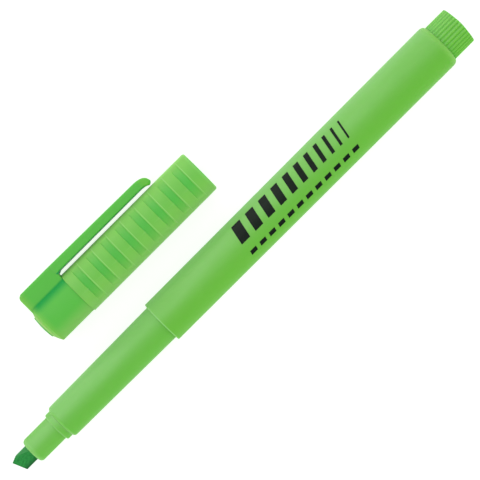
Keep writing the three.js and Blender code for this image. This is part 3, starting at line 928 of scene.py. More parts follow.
@dataclass
class Finishes:
    """Every finish of the object, made once.

    The offsets say, in millimetres, where the bands of painted light and shade lie: out from an axis or in
    from a node's end.
    """

    pen_axis: AxisFrame
    cap_axis: AxisFrame
    effects: Effects = field(default_factory=Effects)
    barrel_flank: float = 5.3
    grip_flank: float = 4.3
    flange_front: float = 1.4
    cap_flank: float = 5.2
    crown_flank: float = 5.0
    crown_crease: float = 4.15
    crown_rim: float = 0.45
    clip_under: float = 0.5
    clip_toe: float = 1.2
    nib_half_width: float = 1.95
    by_name: dict[str, bpy.types.Material] = field(init=False)

    def __post_init__(self) -> None:
        """Builds the materials."""
        shoulder = node_box("barrel")[0].x
        barrel_rear = node_box("barrel")[1].x
        grip_front = node_box("front_section")[0].x
        nose_front = node_box("nib_holder")[0].x
        plug_end = node_box("end_plug")[1].x
        crown_end = node_box("cap_crown")[0].x
        mouth = node_box("cap_tube")[1].x
        pen_y = self.pen_axis.origin.y
        cap_y = self.cap_axis.origin.y
        crease = cap_y + self.crown_crease * MM
        clip_under = node_box("clip_arm")[0].y + self.clip_under * MM
        clip_toe = node_box("clip_arm")[1].x - self.clip_toe * MM
        # pale is a painted highlight: a light line on rounded rims, namely the barrel's shoulder, the nose's
        # front, the plug's end and the cap's mouth.
        pale = (0.27, 0.62, 0.17)
        # Painted shade for the crease where the clip block meets the crown.
        crown_crease_shade = (0.008, 0.37, 0.06)
        # Painted highlight for a pale band along the pen's +Y flank.
        pen_flank_highlight = (0.26, 0.58, 0.19)
        plastics = {
            # Barrel: painted highlight along its +Y flank, a painted highlight on the shoulder's edge and a
            # paler painted rim at its rounded rear end.
            "barrel": SatinPlastic("barrel_plastic", (0.14, 0.495, 0.038), (0.128, 0.48, 0.032), zones=(
                Zone(pen_flank_highlight, Run.ACROSS, pen_y + self.barrel_flank * MM, 0.0026, 0.0004, 0.5),
                Zone(pale, Run.ALONG, shoulder, 0.0002, 0.0004),
                Zone((0.22, 0.56, 0.09), Run.ALONG, barrel_rear, 0.0018, 0.001, 0.8),
            ), sheen=0.14),
            # Front section: painted highlight along its +Y flank and on its rounded front edge.
            "grip": SatinPlastic("grip_plastic", (0.142, 0.5, 0.05), (0.13, 0.485, 0.043), zones=(
                Zone(pen_flank_highlight, Run.ACROSS, pen_y + self.grip_flank * MM, 0.0022, 0.0004, 0.5),
                Zone((0.24, 0.61, 0.13), Run.ALONG, grip_front, 0.0006, 0.0007, 0.8),
            ), sheen=0.16),
            # Nib holder: painted highlights on the nose's front rim and on both edges of the flange.
            "holder": SatinPlastic("holder_plastic", (0.152, 0.505, 0.06), (0.14, 0.49, 0.05), zones=(
                Zone(pale, Run.ALONG, nose_front, 0.0003, 0.0013, 0.7),
                Zone((0.22, 0.58, 0.12), Run.ALONG, grip_front, 0.0004, 0.0004, 0.8),
                Zone((0.26, 0.6, 0.16), Run.ALONG, grip_front - self.flange_front * MM, 0.00025, 0.0003, 0.7),
            ), sheen=0.1),
            # End plug: painted shade where it meets the barrel's rear end, a painted highlight on its end
            # face, and painted shade in the valleys between its ribs.
            "plug": SatinPlastic("plug_plastic", (0.155, 0.525, 0.04), (0.14, 0.51, 0.034), zones=(
                Zone((0.085, 0.44, 0.03), Run.ALONG, barrel_rear, 0.001, 0.0016, 0.7),
                Zone(pale, Run.ALONG, plug_end, 0.0007, 0.001, 0.4),
            ), sunk=(Sunk((0.11, 0.465, 0.026), self.pen_axis, 0.00464, 0.00448),)),
            # Cap tube: painted shade down its middle, painted highlights on both flanks and on the mouth's
            # rim, painted shade in the recesses, strongest where they face up and down, and painted
            # highlights on the beads beside them.
            "cap": SatinPlastic("cap_plastic", (0.225, 0.585, 0.105), (0.205, 0.565, 0.095), zones=(
                Zone((0.175, 0.545, 0.085), Run.ACROSS, cap_y, 0.0032, 0.0044),
                Zone((0.3, 0.61, 0.17), Run.ACROSS, cap_y - self.cap_flank * MM, 0.0004, 0.0026, 0.5),
                Zone((0.27, 0.66, 0.13), Run.ACROSS, cap_y + self.cap_flank * MM, 0.0008, 0.0004, 0.8),
                Zone(pale, Run.ALONG, mouth, 0.0009, 0.0004, 0.6),
            ), sunk=(
                Sunk((0.075, 0.5, 0.065), self.cap_axis, 0.00519, 0.00504, 3.0, 0.75),
                Sunk((0.3, 0.64, 0.18), self.cap_axis, 0.005242, 0.00526, 0.0, 0.75),
            ), gloss=0.06, roughness=0.6, sheen=0.14),
            # Crown: painted highlight on its -Y flank, painted shade in the crease beside the clip block, a
            # paler, yellower band of painted light towards its end and a painted highlight on the rim at its
            # end.
            "crown": SatinPlastic("crown_plastic", (0.12, 0.525, 0.075), (0.105, 0.51, 0.066), zones=(
                Zone((0.25, 0.58, 0.13), Run.ACROSS, cap_y - self.crown_flank * MM, 0.0005, 0.0036),
                Zone(crown_crease_shade, Run.ACROSS, crease, 0.0022, 0.0006),
                Zone((0.25, 0.56, 0.09), Run.ALONG, crown_end, 0.001, 0.0028, 0.85),
                Zone((0.36, 0.63, 0.18), Run.ALONG, crown_end + self.crown_rim * MM, 0.0005, 0.00035, 0.7),
            ), gloss=0.04, roughness=0.6, sheen=0.08),
            # Inner cap: painted shade on the edge of the button that shows in the crown's end.
            "liner": SatinPlastic("liner_plastic", (0.152, 0.505, 0.06), (0.14, 0.49, 0.05), zones=(
                Zone((0.09, 0.44, 0.085), Run.ALONG, crown_end, 0.002, 0.0006),
            )),
            # Clip: painted shade along the edge of its underside; a lighter band over the toe covers that
            # painted shade where the toe hooks down.
            "clip": SatinPlastic("clip_plastic", (0.12, 0.525, 0.075), (0.105, 0.51, 0.066), zones=(
                Zone((0.0, 0.33, 0.09), Run.ACROSS, clip_under, 0.0006, 0.00022),
                Zone((0.15, 0.53, 0.06), Run.ALONG, clip_toe, 0.0016, 0.003),
            ), gloss=0.05, roughness=0.6, sheen=0.08),
        }
        self.by_name = {key: plastic.make(self.effects) for key, plastic in plastics.items()}
        nib_low = pen_y - self.nib_half_width * MM
        nib_high = nib_low + 2 * self.nib_half_width * MM
        # Nib: painted shade on its -Y flank and a painted highlight on its +Y flank.
        nib = InkedFibre("nib_fibre", (0.02, 0.3, 0.05), (0.007, 0.18, 0.028), zones=(
            Zone((0.003, 0.08, 0.018), Run.ACROSS, nib_low, 0.0003, 0.0013, 0.8),
            Zone((0.03, 0.27, 0.06), Run.ACROSS, nib_high, 0.0011, 0.0003, 0.6),
        ))
        self.by_name["nib"] = nib.make(self.effects)
        felt = InkedFibre(
            "ink_fibre", (0.2, 0.6, 0.07), (0.11, 0.46, 0.04), roughness=0.9, strand_scale=2600.0
        )
        self.by_name["felt"] = felt.make(self.effects)
        self.by_name["print"] = PrintedInk("barrel_print_ink").make(self.effects)
        self.by_name["film"] = ClearFilm("wrap_film").make(self.effects)


def dress(piece: bpy.types.Object, material: bpy.types.Material, body: Body, slot: str, *nodes: str) -> None:
    """Gives a piece its finish and ties it to the frame.

    Args:
        piece: The piece.
        material: Its finish.
        body: The body it rides on.
        slot: The record's material slot; not used.
        *nodes: The CAD nodes that it stands for.
    """
    piece.data.materials.clear()
    piece.data.materials.append(material)
    if nodes:
        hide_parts(*nodes)
    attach(piece, body.value)
    log.info("%s: %d faces, on %s", piece.name, len(piece.data.polygons), body.value)


# ---------------------------------------------------------------- the pen


@dataclass
class Barrel:
    """The main tube, ribbed inside, with a crisp front shoulder and a rounded rear edge."""

    axis: AxisFrame
    front_radius: float = 5.2
    rear_radius: float = 5.4
    bore_radius: float = 4.1
    shoulder_edge: float = 0.14
    rear_edge_length: float = 1.2
    rear_edge_depth: float = 0.7
    rear_edge_steps: int = 8
    mouth_edge: float = 0.1
    rib_count: int = 6
    rib_half_width: float = 0.35
    rib_reach: float = 3.25
    rib_setback_front: float = 14.0
    rib_setback_rear: float = 11.0
    rib_end_run: float = 0.01

    def radius_at(self, x: float) -> float:
        """Returns the outside radius at a place along the pen, in millimetres."""
        front, rear = self.axis.span("barrel")
        share = (x - front) / (rear - self.rear_edge_length - front)
        return self.front_radius + (self.rear_radius - self.front_radius) * min(max(share, 0.0), 1.0)

    def ribbed_bore(self, x: float, r: float, angle: float) -> float:
        """Gives the bore its ribs and leaves the outside round.

        Args:
            x: Place along the pen.
            r: Radius without ribs.
            angle: Angle round the axis.

        Returns:
            The radius with ribs.
        """
        front, rear = self.axis.span("barrel")
        ribs_here = front + self.rib_setback_front <= x <= rear - self.rib_setback_rear
        if r > self.bore_radius + NEAR or not ribs_here:
            return r
        step = 2 * math.pi / self.rib_count
        aside = abs((angle + step / 2) % step - step / 2)
        return self.rib_reach if aside * self.rib_reach < self.rib_half_width else r

    def build(self) -> bpy.types.Object:
        """Builds the tube.

        Returns:
            The barrel.
        """
        front, rear = self.axis.span("barrel")
        outline = rounded([
            (front, self.bore_radius, self.mouth_edge),
            (front, self.front_radius, self.shoulder_edge),
            (rear - self.rear_edge_length, self.rear_radius, 0.0),
        ], closed=False)
        for i in range(1, self.rear_edge_steps + 1):
            angle = math.pi / 2 * i / self.rear_edge_steps
            outline.append((
                rear - self.rear_edge_length + self.rear_edge_length * math.sin(angle),
                self.rear_radius - self.rear_edge_depth * (1 - math.cos(angle)),
            ))
        rib_rear = rear - self.rib_setback_rear
        rib_front = front + self.rib_setback_front
        outline += [
            (rear, self.bore_radius),
            (rib_rear + self.rib_end_run, self.bore_radius),
            (rib_rear, self.bore_radius),
            (rib_front, self.bore_radius),
            (rib_front - self.rib_end_run, self.bore_radius),
        ]
        return spun("barrel_shell", self.axis, outline, even_angles(FINE_SEGMENTS), shape=self.ribbed_bore)

    def dress(self, piece: bpy.types.Object, finishes: Finishes) -> None:
        """Finishes the barrel and ties it to the pen."""
        dress(piece, finishes.by_name["barrel"], Body.PEN, "barrel_plastic", "barrel")


@dataclass
class FrontSection:
    """The tapering part in front of the shoulder, with its spigot inside the barrel."""

    axis: AxisFrame
    front_radius: float = 4.15
    rear_radius: float = 4.45
    bore_radius: float = 3.25
    spigot_radius: float = 4.0
    edge_radius: float = 0.75
    shoulder_gap: float = 0.03
    front_bore_edge: float = 0.08
    step_edge: float = 0.05
    spigot_edge: float = 0.2
    rear_bore_edge: float = 0.1

    def build(self) -> bpy.types.Object:
        """Builds the section.

        Returns:
            The front section.
        """
        front, rear = self.axis.span("front_section")
        shoulder = self.axis.span("barrel")[0] - self.shoulder_gap
        outline = rounded([
            (front, self.bore_radius, self.front_bore_edge),
            (front, self.front_radius, self.edge_radius),
            (shoulder, self.rear_radius, self.step_edge),
            (shoulder, self.spigot_radius, 0.0),
            (rear, self.spigot_radius, self.spigot_edge),
            (rear, self.bore_radius, self.rear_bore_edge),
        ], steps=6)
        return spun("front_section_shell", self.axis, outline, even_angles(FINE_SEGMENTS))

    def dress(self, piece: bpy.types.Object, finishes: Finishes) -> None:
        """Finishes the section and ties it to the pen."""
        dress(piece, finishes.by_name["grip"], Body.PEN, "grip_plastic", "front_section")


@dataclass
class NibHolder:
    """The round nose that grips the nib, with a thin flange behind it."""

    axis: AxisFrame
    nose_radius: float = 3.05
    nose_edge: float = 0.85
    flange_radius: float = 3.55
    flange_length: float = 1.4
    spigot_radius: float = 3.15
    bore_radius: float = 2.02
    section_gap: float = 0.01
    front_bore_edge: float = 0.06
    nose_foot: float = 0.12
    flange_front_edge: float = 0.25
    flange_rear_edge: float = 0.04
    spigot_edge: float = 0.2
    rear_bore_edge: float = 0.1

    def build(self) -> bpy.types.Object:
        """Builds the holder.

        Returns:
            The nib holder.
        """
        front, rear = self.axis.span("nib_holder")
        section_front = self.axis.span("front_section")[0]
        flange_front = section_front - self.flange_length
        flange_rear = section_front - self.section_gap
        outline = rounded([
            (front, self.bore_radius, self.front_bore_edge),
            (front, self.nose_radius, self.nose_edge),
            (flange_front, self.nose_radius, self.nose_foot),
            (flange_front, self.flange_radius, self.flange_front_edge),
            (flange_rear, self.flange_radius, self.flange_rear_edge),
            (flange_rear, self.spigot_radius, 0.0),
            (rear, self.spigot_radius, self.spigot_edge),
            (rear, self.bore_radius, self.rear_bore_edge),
        ], steps=6)
        return spun("nib_holder_nose", self.axis, outline, even_angles(SMALL_SEGMENTS))

    def dress(self, piece: bpy.types.Object, finishes: Finishes) -> None:
        """Finishes the holder and ties it to the pen."""
        dress(piece, finishes.by_name["holder"], Body.PEN, "holder_plastic", "nib_holder")


@dataclass
class Nib:
    """The fibre rod, cut to a chisel with a slanted writing edge and one bevelled corner."""

    axis: AxisFrame
    radius: float = 1.95
    tip_thickness: float = 0.9
    taper_length: float = 4.3
    slant: float = 0.42
    bevel_length: float = 1.7
    bevel_width: float = 0.7
    straight_margin: float = 1.0
    rear_chamfer: float = 0.5
    edge_softness: float = 0.16
    edge_segments: int = 3
    soften_above: float = math.radians(20)
    sharp_degrees: float = 60.0
    merge_distance: float = 0.002

    def build(self) -> bpy.types.Object:
        """Cuts the rod to shape and softens its edges.

        Returns:
            The nib.
        """
        front, rear = self.axis.span("nib")
        mesh = bmesh.new()
        rings = []
        straight = front + self.taper_length + self.straight_margin
        for x in (front - self.radius, straight, rear - self.rear_chamfer, rear):
            r = self.radius - (self.rear_chamfer if x == rear else 0.0)
            rings.append([
                mesh.verts.new(self.axis.point(x, r * math.cos(a), r * math.sin(a)))
                for a in even_angles(SMALL_SEGMENTS)
            ])
        for first, second in zip(rings, rings[1:]):
            for j in range(SMALL_SEGMENTS):
                k = (j + 1) % SMALL_SEGMENTS
                mesh.faces.new((first[j], first[k], second[k], second[j]))
        mesh.faces.new(rings[0])
        mesh.faces.new(rings[-1])
        bevel_edge = self.radius - self.bevel_width
        fall = (self.radius - self.tip_thickness / 2) / self.taper_length
        cuts = [
            ((front, bevel_edge, 0.0), (-1.0, -self.slant, 0.0)),
            ((front, bevel_edge, self.tip_thickness / 2), (-fall, -fall * self.slant, 1.0)),
            ((front, bevel_edge, -self.tip_thickness / 2), (-fall, -fall * self.slant, -1.0)),
            ((front, bevel_edge, 0.0), (-self.bevel_width, self.bevel_length, 0.0)),
        ]
        for spot, outward in cuts:
            whole = mesh.verts[:] + mesh.edges[:] + mesh.faces[:]
            cut = bmesh.ops.bisect_plane(
                mesh,
                geom=whole,
                dist=WELD_REACH,
                plane_co=self.axis.point(*spot),
                plane_no=Vector(outward).normalized(),
                clear_outer=True,
            )
            rim = [e for e in cut["geom_cut"] if isinstance(e, bmesh.types.BMEdge)]
            bmesh.ops.holes_fill(mesh, edges=rim, sides=0)
        nib = finish_mesh(mesh, "nib_chisel", sharp_degrees=self.sharp_degrees)
        soft = nib.modifiers.new("soft_edges", "BEVEL")
        soft.width = self.edge_softness * MM
        soft.segments = self.edge_segments
        soft.limit_method = "ANGLE"
        soft.angle_limit = self.soften_above
        nib.modifiers.move(1, 0)
        merged = nib.modifiers.new("merged_points", "WELD")
        merged.merge_threshold = self.merge_distance * MM
        nib.modifiers.move(2, 1)
        return nib

    def dress(self, piece: bpy.types.Object, finishes: Finishes) -> None:
        """Finishes the nib and ties it to the pen."""
        dress(piece, finishes.by_name["nib"], Body.PEN, "nib_fibre", "nib")


@dataclass
class EndPlug:
    """The finely ribbed plug that closes the barrel's rear end."""

    axis: AxisFrame
    head_radius: float = 4.65
    spigot_radius: float = 4.0
    hollow_radius: float = 3.2
    dome_height: float = 0.5
    flat_radius: float = 1.8
    centre_ring: float = 0.4
    face_curve: float = 6.0
    face_inset: float = 0.1
    web_setback: float = 0.2
    seat_gap: float = 0.03
    inner_edge: float = 0.3
    mouth_edge: float = 0.1
    rim_edge: float = 0.12
    rib_count: int = 32
    rib_depth: float = 0.2
    rib_power: float = 1.6
    rib_margin: float = 0.05
    samples_per_rib: int = 10

    def ribbed(self, x: float, r: float, angle: float) -> float:
        """Cuts rounded flutes into the head and leaves the rest round.

        Args:
            x: Place along the pen.
            r: Radius without ribs.
            angle: Angle round the axis.

        Returns:
            The radius with ribs.
        """
        if x < self.axis.span("barrel")[1] or r < self.spigot_radius + self.rib_margin:
            return r
        wave = 0.5 - 0.5 * math.cos(self.rib_count * angle)
        return r - self.rib_depth * wave**self.rib_power

    def build(self) -> bpy.types.Object:
        """Builds the plug.

        Returns:
            The end plug.
        """
        spigot_front, end = self.axis.span("end_plug")
        barrel_rear = self.axis.span("barrel")[1]
        rim = end - self.dome_height
        web = barrel_rear - self.web_setback
        seat = barrel_rear + self.seat_gap
        face_ring = self.spigot_radius - self.face_inset
        ring_fall = self.dome_height * (face_ring - self.flat_radius) / (self.head_radius - self.flat_radius)
        outline = rounded([
            (web, 0.0, 0.0),
            (web, self.hollow_radius, self.inner_edge),
            (spigot_front, self.hollow_radius, self.mouth_edge),
            (spigot_front, self.spigot_radius, self.inner_edge),
            (seat, self.spigot_radius, 0.0),
            (seat, self.head_radius, 0.0),
            (rim, self.head_radius, self.rim_edge),
            (end - ring_fall, face_ring, 0.0),
            (end, self.flat_radius, self.face_curve),
            (end, self.centre_ring, 0.0),
            (end, 0.0, 0.0),
        ], steps=6, closed=False)
        angles = even_angles(self.rib_count * self.samples_per_rib)
        return spun("end_plug_ribbed", self.axis, outline, angles, closed=False, shape=self.ribbed)

    def dress(self, piece: bpy.types.Object, finishes: Finishes) -> None:
        """Finishes the plug and ties it to the pen."""
        dress(piece, finishes.by_name["plug"], Body.PEN, "plug_plastic", "end_plug")


@dataclass
class InkSystem:
    """The felted reservoir and its film wrap, both hidden inside the pen."""

    def dress(self, finishes: Finishes) -> None:
        """Gives the two hidden CAD nodes their finishes."""
        kept = (("ink_reservoir", "felt", "ink_fibre"), ("reservoir_wrap", "film", "wrap_film"))
        for node, finish, slot in kept:
            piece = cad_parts[node]
            for place in piece.material_slots:
                place.material = finishes.by_name[finish]
            log.info("%s: CAD node kept", node)


@dataclass
class BarrelPrint:
    """A plain printed scale of line widths: slanted bars that grow narrower, over a row of dashes."""

    axis: AxisFrame
    barrel: Barrel
    start: float = 68.1
    bar_count: int = 11
    first_width: float = 2.5
    last_width: float = 0.45
    gap: float = 1.62
    lean: float = 0.9
    row_low: float = -4.25
    row_high: float = 0.4
    dash_count: int = 12
    dash_share: float = 0.62
    dash_low: float = 2.75
    dash_high: float = 3.85
    lift: float = 0.012
    step: float = 0.3

    def patch(self, mesh: bmesh.types.BMesh, x_low: float, x_high: float, low: float, high: float) -> None:
        """Lays one leaning bar of ink on the barrel.

        Args:
            mesh: The mesh to add to.
            x_low: Where the bar starts along the pen.
            x_high: Where it ends.
            low: Its upper-side edge, as an arc length round the barrel from the top, towards +Y if negative.
            high: Its other edge.
        """
        rows = max(2, int((high - low) / self.step) + 1)
        columns = max(2, int((x_high - x_low) / self.step) + 1)
        layers = []
        for lift in (self.lift, -self.lift):
            grid = []
            for i in range(rows + 1):
                around = low + (high - low) * i / rows
                shift = self.lean * (high - around) / (self.row_high - self.row_low)
                line = []
                for j in range(columns + 1):
                    x = x_low + (x_high - x_low) * j / columns + shift
                    radius = self.barrel.radius_at(x)
                    angle = math.pi / 2 + around / radius
                    spot = (x, (radius + lift) * math.cos(angle), (radius + lift) * math.sin(angle))
                    line.append(mesh.verts.new(self.axis.point(*spot)))
                grid.append(line)
            layers.append(grid)
        top, bottom = layers
        for i in range(rows):
            for j in range(columns):
                mesh.faces.new((top[i][j], top[i][j + 1], top[i + 1][j + 1], top[i + 1][j]))
                mesh.faces.new((bottom[i][j], bottom[i + 1][j], bottom[i + 1][j + 1], bottom[i][j + 1]))
        border = [(0, j) for j in range(columns)] + [(i, columns) for i in range(rows)]
        border += [(rows, j) for j in range(columns, 0, -1)] + [(i, 0) for i in range(rows, 0, -1)]
        for (a, b), (c, d) in zip(border, border[1:] + border[:1]):
            mesh.faces.new((top[a][b], bottom[a][b], bottom[c][d], top[c][d]))

    def build(self) -> bpy.types.Object:
        """Builds the whole print.

        Returns:
            The print.
        """
        mesh = bmesh.new()
        x = self.start
        for i in range(self.bar_count):
            width = self.first_width + (self.last_width - self.first_width) * i / (self.bar_count - 1)
            self.patch(mesh, x, x + width, self.row_low, self.row_high)
            x += width + self.gap
        pitch = (x - self.gap - self.start) / (self.dash_count - 1 + self.dash_share)
        for i in range(self.dash_count):
            left = self.start + i * pitch
            self.patch(mesh, left, left + pitch * self.dash_share, self.dash_low, self.dash_high)
        return finish_mesh(mesh, "barrel_print")

    def dress(self, piece: bpy.types.Object, finishes: Finishes) -> None:
        """Finishes the print and ties it to the pen."""
        dress(piece, finishes.by_name["print"], Body.PEN, "barrel_plastic")


# ---------------------------------------------------------------- the cap


@dataclass
class CapTube:
    """The cap's open tube, with a row of round-ended recesses on its upper and lower sides."""

    axis: AxisFrame
    radius: float = 5.235
    bore_radius: float = 4.565
    mouth_edge: float = 0.5
    recess_count: int = 8
    recess_width: float = 1.87
    recess_depth: float = 0.28
    recess_half_angle: float = math.radians(58)
    recess_margin_seam: float = 3.28
    recess_margin_mouth: float = 3.86
    recess_wall: float = 0.2
    recess_run_out: float = 1.5
    bead_height: float = 0.035
    bead_width: float = 0.36
    seam_chamfer: float = 0.06
    bore_chamfer: float = 0.08
    mouth_trim: float = 0.011
    mouth_steps: int = 6
    ring_margin: float = 0.02
    wall_rings: int = 7
    floor_setback: float = 0.2
    floor_rings: int = 3
    bead_setback: float = 0.05
    bead_rings: int = 8
    centres: list[float] = field(init=False)

    def __post_init__(self) -> None:
        """Works out where the recesses lie along the cap."""
        seam = self.axis.span("cap_tube")[0]
        first = seam + self.recess_margin_seam
        pitch = (-seam - self.recess_margin_seam - self.recess_margin_mouth) / (self.recess_count - 1)
        self.centres = [first + i * pitch for i in range(self.recess_count)]

    def recessed(self, x: float, r: float, angle: float) -> float:
        """Sinks the recesses into the outside and leaves the rest round.

        Args:
            x: Place along the cap.
            r: Radius without recesses.
            angle: Angle round the axis.

        Returns:
            The radius with recesses.
        """
        if r < self.radius - NEAR:
            return r
        along = min((x - c for c in self.centres), key=abs)
        aside = abs(math.atan2(math.cos(angle), abs(math.sin(angle)))) * self.radius
        room = self.recess_half_angle * self.radius - aside
        ends = smooth(room / self.recess_run_out)
        sunk = smooth((self.recess_width / 2 - abs(along)) / self.recess_wall) * ends
        across_bead = abs(along - self.recess_width / 2 - self.bead_width / 2) / (self.bead_width / 2)
        bead = smooth(1 - across_bead) * smooth((room + self.recess_run_out) / self.recess_run_out)
        return r - self.recess_depth * sunk + self.bead_height * bead

    def build(self) -> bpy.types.Object:
        """Builds the tube.

        Returns:
            The cap tube.
        """
        seam, mouth = self.axis.span("cap_tube")
        half = self.recess_width / 2
        outline: list[Point] = [
            (seam, self.bore_radius),
            (seam, self.radius - self.seam_chamfer),
            (seam + self.seam_chamfer, self.radius),
        ]
        foot = half - self.recess_wall
        wall = np.linspace(half + self.ring_margin, foot - self.ring_margin, self.wall_rings)
        floor = np.linspace(foot - self.floor_setback, 0.0, self.floor_rings)
        bead = np.linspace(half + self.bead_width, half + self.bead_setback, self.bead_rings)
        for centre in self.centres:
            outline += [(centre - float(s), self.radius) for s in (*wall, *floor)]
            outline += [(centre + float(s), self.radius) for s in reversed((*bead, *wall, *floor[:-1]))]
        for i in range(self.mouth_steps + 1):
            angle = math.pi / 2 * i / self.mouth_steps
            trim = self.mouth_trim if i else 0.0
            outline.append((
                mouth - self.mouth_edge + self.mouth_edge * math.sin(angle),
                self.radius - self.mouth_edge + self.mouth_edge * math.cos(angle) - trim,
            ))
        outline.append((mouth, self.bore_radius + self.bore_chamfer))
        outline.append((mouth - self.bore_chamfer, self.bore_radius))
        return spun("cap_tube_recessed", self.axis, outline, even_angles(FINE_SEGMENTS), shape=self.recessed)

    def dress(self, piece: bpy.types.Object, finishes: Finishes) -> None:
        """Finishes the tube and ties it to the cap."""
        dress(piece, finishes.by_name["cap"], Body.CAP, "cap_plastic", "cap_tube")


def soft_box(
    x: np.ndarray, y: np.ndarray, half: Point, radii: tuple[float, float, float, float]
) -> np.ndarray:
    """Signed distance to a rectangle with a radius for each corner.

    Args:
        x: Places across, from the middle.
        y: Places up, from the middle.
        half: Half width and half height.
        radii: Corner radii: low-left, low-right, high-left, high-right.

    Returns:
        The distances.
    """
    left = np.where(y > 0, radii[2], radii[0])
    right = np.where(y > 0, radii[3], radii[1])
    r = np.where(x > 0, right, left)
    qx = np.abs(x) - half[0] + r
    qy = np.abs(y) - half[1] + r
    outside = np.hypot(np.maximum(qx, 0), np.maximum(qy, 0))
    return np.minimum(np.maximum(qx, qy), 0) + outside - r


@dataclass
class CapCrown:
    """The cap's closed end, with the block that carries the clip blended into it."""

    axis: AxisFrame
    radius: float = 5.01
    face_radius: float = 3.0
    face_setback: float = 0.25
    dome_height: float = 1.0
    bore_radius: float = 3.87
    spigot_radius: float = 4.465
    spigot_length: float = 4.0
    end_wall: float = 1.4
    hole_radius: float = 2.9
    block_half_width: float = 2.9
    block_top: float = 8.385
    block_setback: float = 0.7
    block_nose_radius: float = 1.2
    block_edge: float = 0.35
    block_corner: float = 0.05
    fillet: float = 0.2
    fillet_share: float = 0.25
    dome_bulge: float = 0.3
    seam_gap: float = 0.03
    face_chamfer_share: float = 0.995
    spigot_chamfer: float = 0.2
    search_start: float = 11.0
    search_end_share: float = 0.9
    search_step: float = 0.05
    search_rounds: int = 12

    def dome_radius(self, x: np.ndarray) -> np.ndarray:
        """Returns the crown's round radius at places along it, domed towards its end."""
        end = self.axis.span("cap_crown")[0] + self.face_setback
        share = np.clip((x - end) / self.dome_height, 0.0, 1.0)
        rise = share * (1 + self.dome_bulge - self.dome_bulge * share)
        return self.face_radius + (self.radius - self.face_radius) * rise

    def distance(self, x: np.ndarray, y: np.ndarray, z: np.ndarray, seam: float) -> np.ndarray:
        """Signed distance, near enough, to the crown joined with its block.

        Args:
            x: Places along the cap.
            y: Places towards the clip.
            z: Places up.
            seam: Where the crown meets the tube.

        Returns:
            The distances, negative inside.
        """
        low = self.axis.span("cap_crown")[0] + self.block_setback
        middle_x = (low + seam) / 2
        half_x = (seam - low) / 2
        plan = soft_box(
            x - middle_x,
            y - self.block_top / 2,
            (half_x, self.block_top / 2),
            (self.block_corner, self.block_corner, self.block_nose_radius, self.block_corner),
        )
        wide = np.abs(z) - self.block_half_width
        e = self.block_edge
        inner = np.minimum(np.maximum(plan + e, wide + e), 0)
        block = inner + np.hypot(np.maximum(plan + e, 0), np.maximum(wide + e, 0)) - e
        barrel = np.hypot(y, z) - self.dome_radius(x)
        blend = np.clip(self.fillet - np.abs(barrel - block), 0, None) / self.fillet
        return np.minimum(barrel, block) - blend**2 * self.fillet * self.fillet_share

    def outer_radius(self, x: float, angles: np.ndarray, seam: float) -> np.ndarray:
        """Finds how far out the skin lies at one place along the cap.

        Args:
            x: The place.
            angles: Angles round the axis.
            seam: Where the crown meets the tube.

        Returns:
            The radius at each angle.
        """
        least = self.face_radius * self.search_end_share
        places = np.full(len(angles), x)
        inside = np.full(len(angles), least)
        outside = np.full(len(angles), least)
        for reach in np.arange(self.search_start, least, -self.search_step):
            d = self.distance(places, reach * np.cos(angles), reach * np.sin(angles), seam)
            first = (d < 0) & (inside <= least)
            inside = np.where(first, reach, inside)
            outside = np.where(first, reach + self.search_step, outside)
        for _ in range(self.search_rounds):
            middle = (inside + outside) / 2
            d = self.distance(places, middle * np.cos(angles), middle * np.sin(angles), seam)
            inside = np.where(d < 0, middle, inside)
            outside = np.where(d < 0, outside, middle)
        return inside

    def angles(self) -> np.ndarray:
        """Returns angles round the crown, closer together over the block."""
        low_side = np.linspace(-48, -14, 35)
        top = np.linspace(-12, 12, 9)
        high_side = np.linspace(14, 48, 35)
        rest = np.linspace(52, 308, 65)
        return np.radians(np.concatenate([low_side, top, high_side, rest]))

    def build(self) -> bpy.types.Object:
        """Builds the crown.

        Returns:
            The cap crown.
        """
        end = self.axis.span("cap_crown")[0] + self.face_setback
        seam = self.axis.span("cap_tube")[0] - self.seam_gap
        angles = self.angles()
        stations = list(end + self.dome_height * np.linspace(0.01, 1.0, 12))
        low = self.axis.span("cap_crown")[0] + self.block_setback
        stations += list(np.linspace(low - 0.12, low + self.block_nose_radius + 0.1, 34))
        stations += list(np.linspace(low + self.block_nose_radius + 0.5, seam - 0.6, 8))
        stations += list(np.linspace(seam - 0.5, seam - 0.005, 8))
        stations = sorted(set(round(s, 4) for s in stations))
        outer = [(x, self.outer_radius(x, angles, seam)) for x in stations]
        plain = np.ones(len(angles))
        spigot_end = seam + self.spigot_length
        inner_face = end - self.face_setback + self.end_wall
        rows = [(end, self.hole_radius * plain), (end, self.face_radius * plain * self.face_chamfer_share)]
        rows += outer
        rows += [
            (seam, np.minimum(outer[-1][1], self.radius + 3.5) - 0.02),
            (seam, self.spigot_radius * plain),
            (spigot_end - self.spigot_chamfer, self.spigot_radius * plain),
            (spigot_end, (self.spigot_radius - self.spigot_chamfer) * plain),
            (spigot_end, self.bore_radius * plain),
            (inner_face, self.bore_radius * plain),
            (inner_face, self.hole_radius * plain),
        ]
        rings = []
        for x, radii in rows:
            rings.append([
                self.axis.point(x, r * math.cos(a), r * math.sin(a))
                for a, r in zip(angles, radii)
            ])
        return lofted("cap_crown_block", rings + [rings[0]], False, False)

    def dress(self, piece: bpy.types.Object, finishes: Finishes) -> None:
        """Joins the doubled points of the crown's mesh, finishes it and ties it to the cap."""
        weld = bmesh.new()
        weld.from_mesh(piece.data)
        bmesh.ops.remove_doubles(weld, verts=weld.verts, dist=WELD_REACH)
        weld.to_mesh(piece.data)
        weld.free()
        dress(piece, finishes.by_name["crown"], Body.CAP, "clip_plastic", "cap_crown")


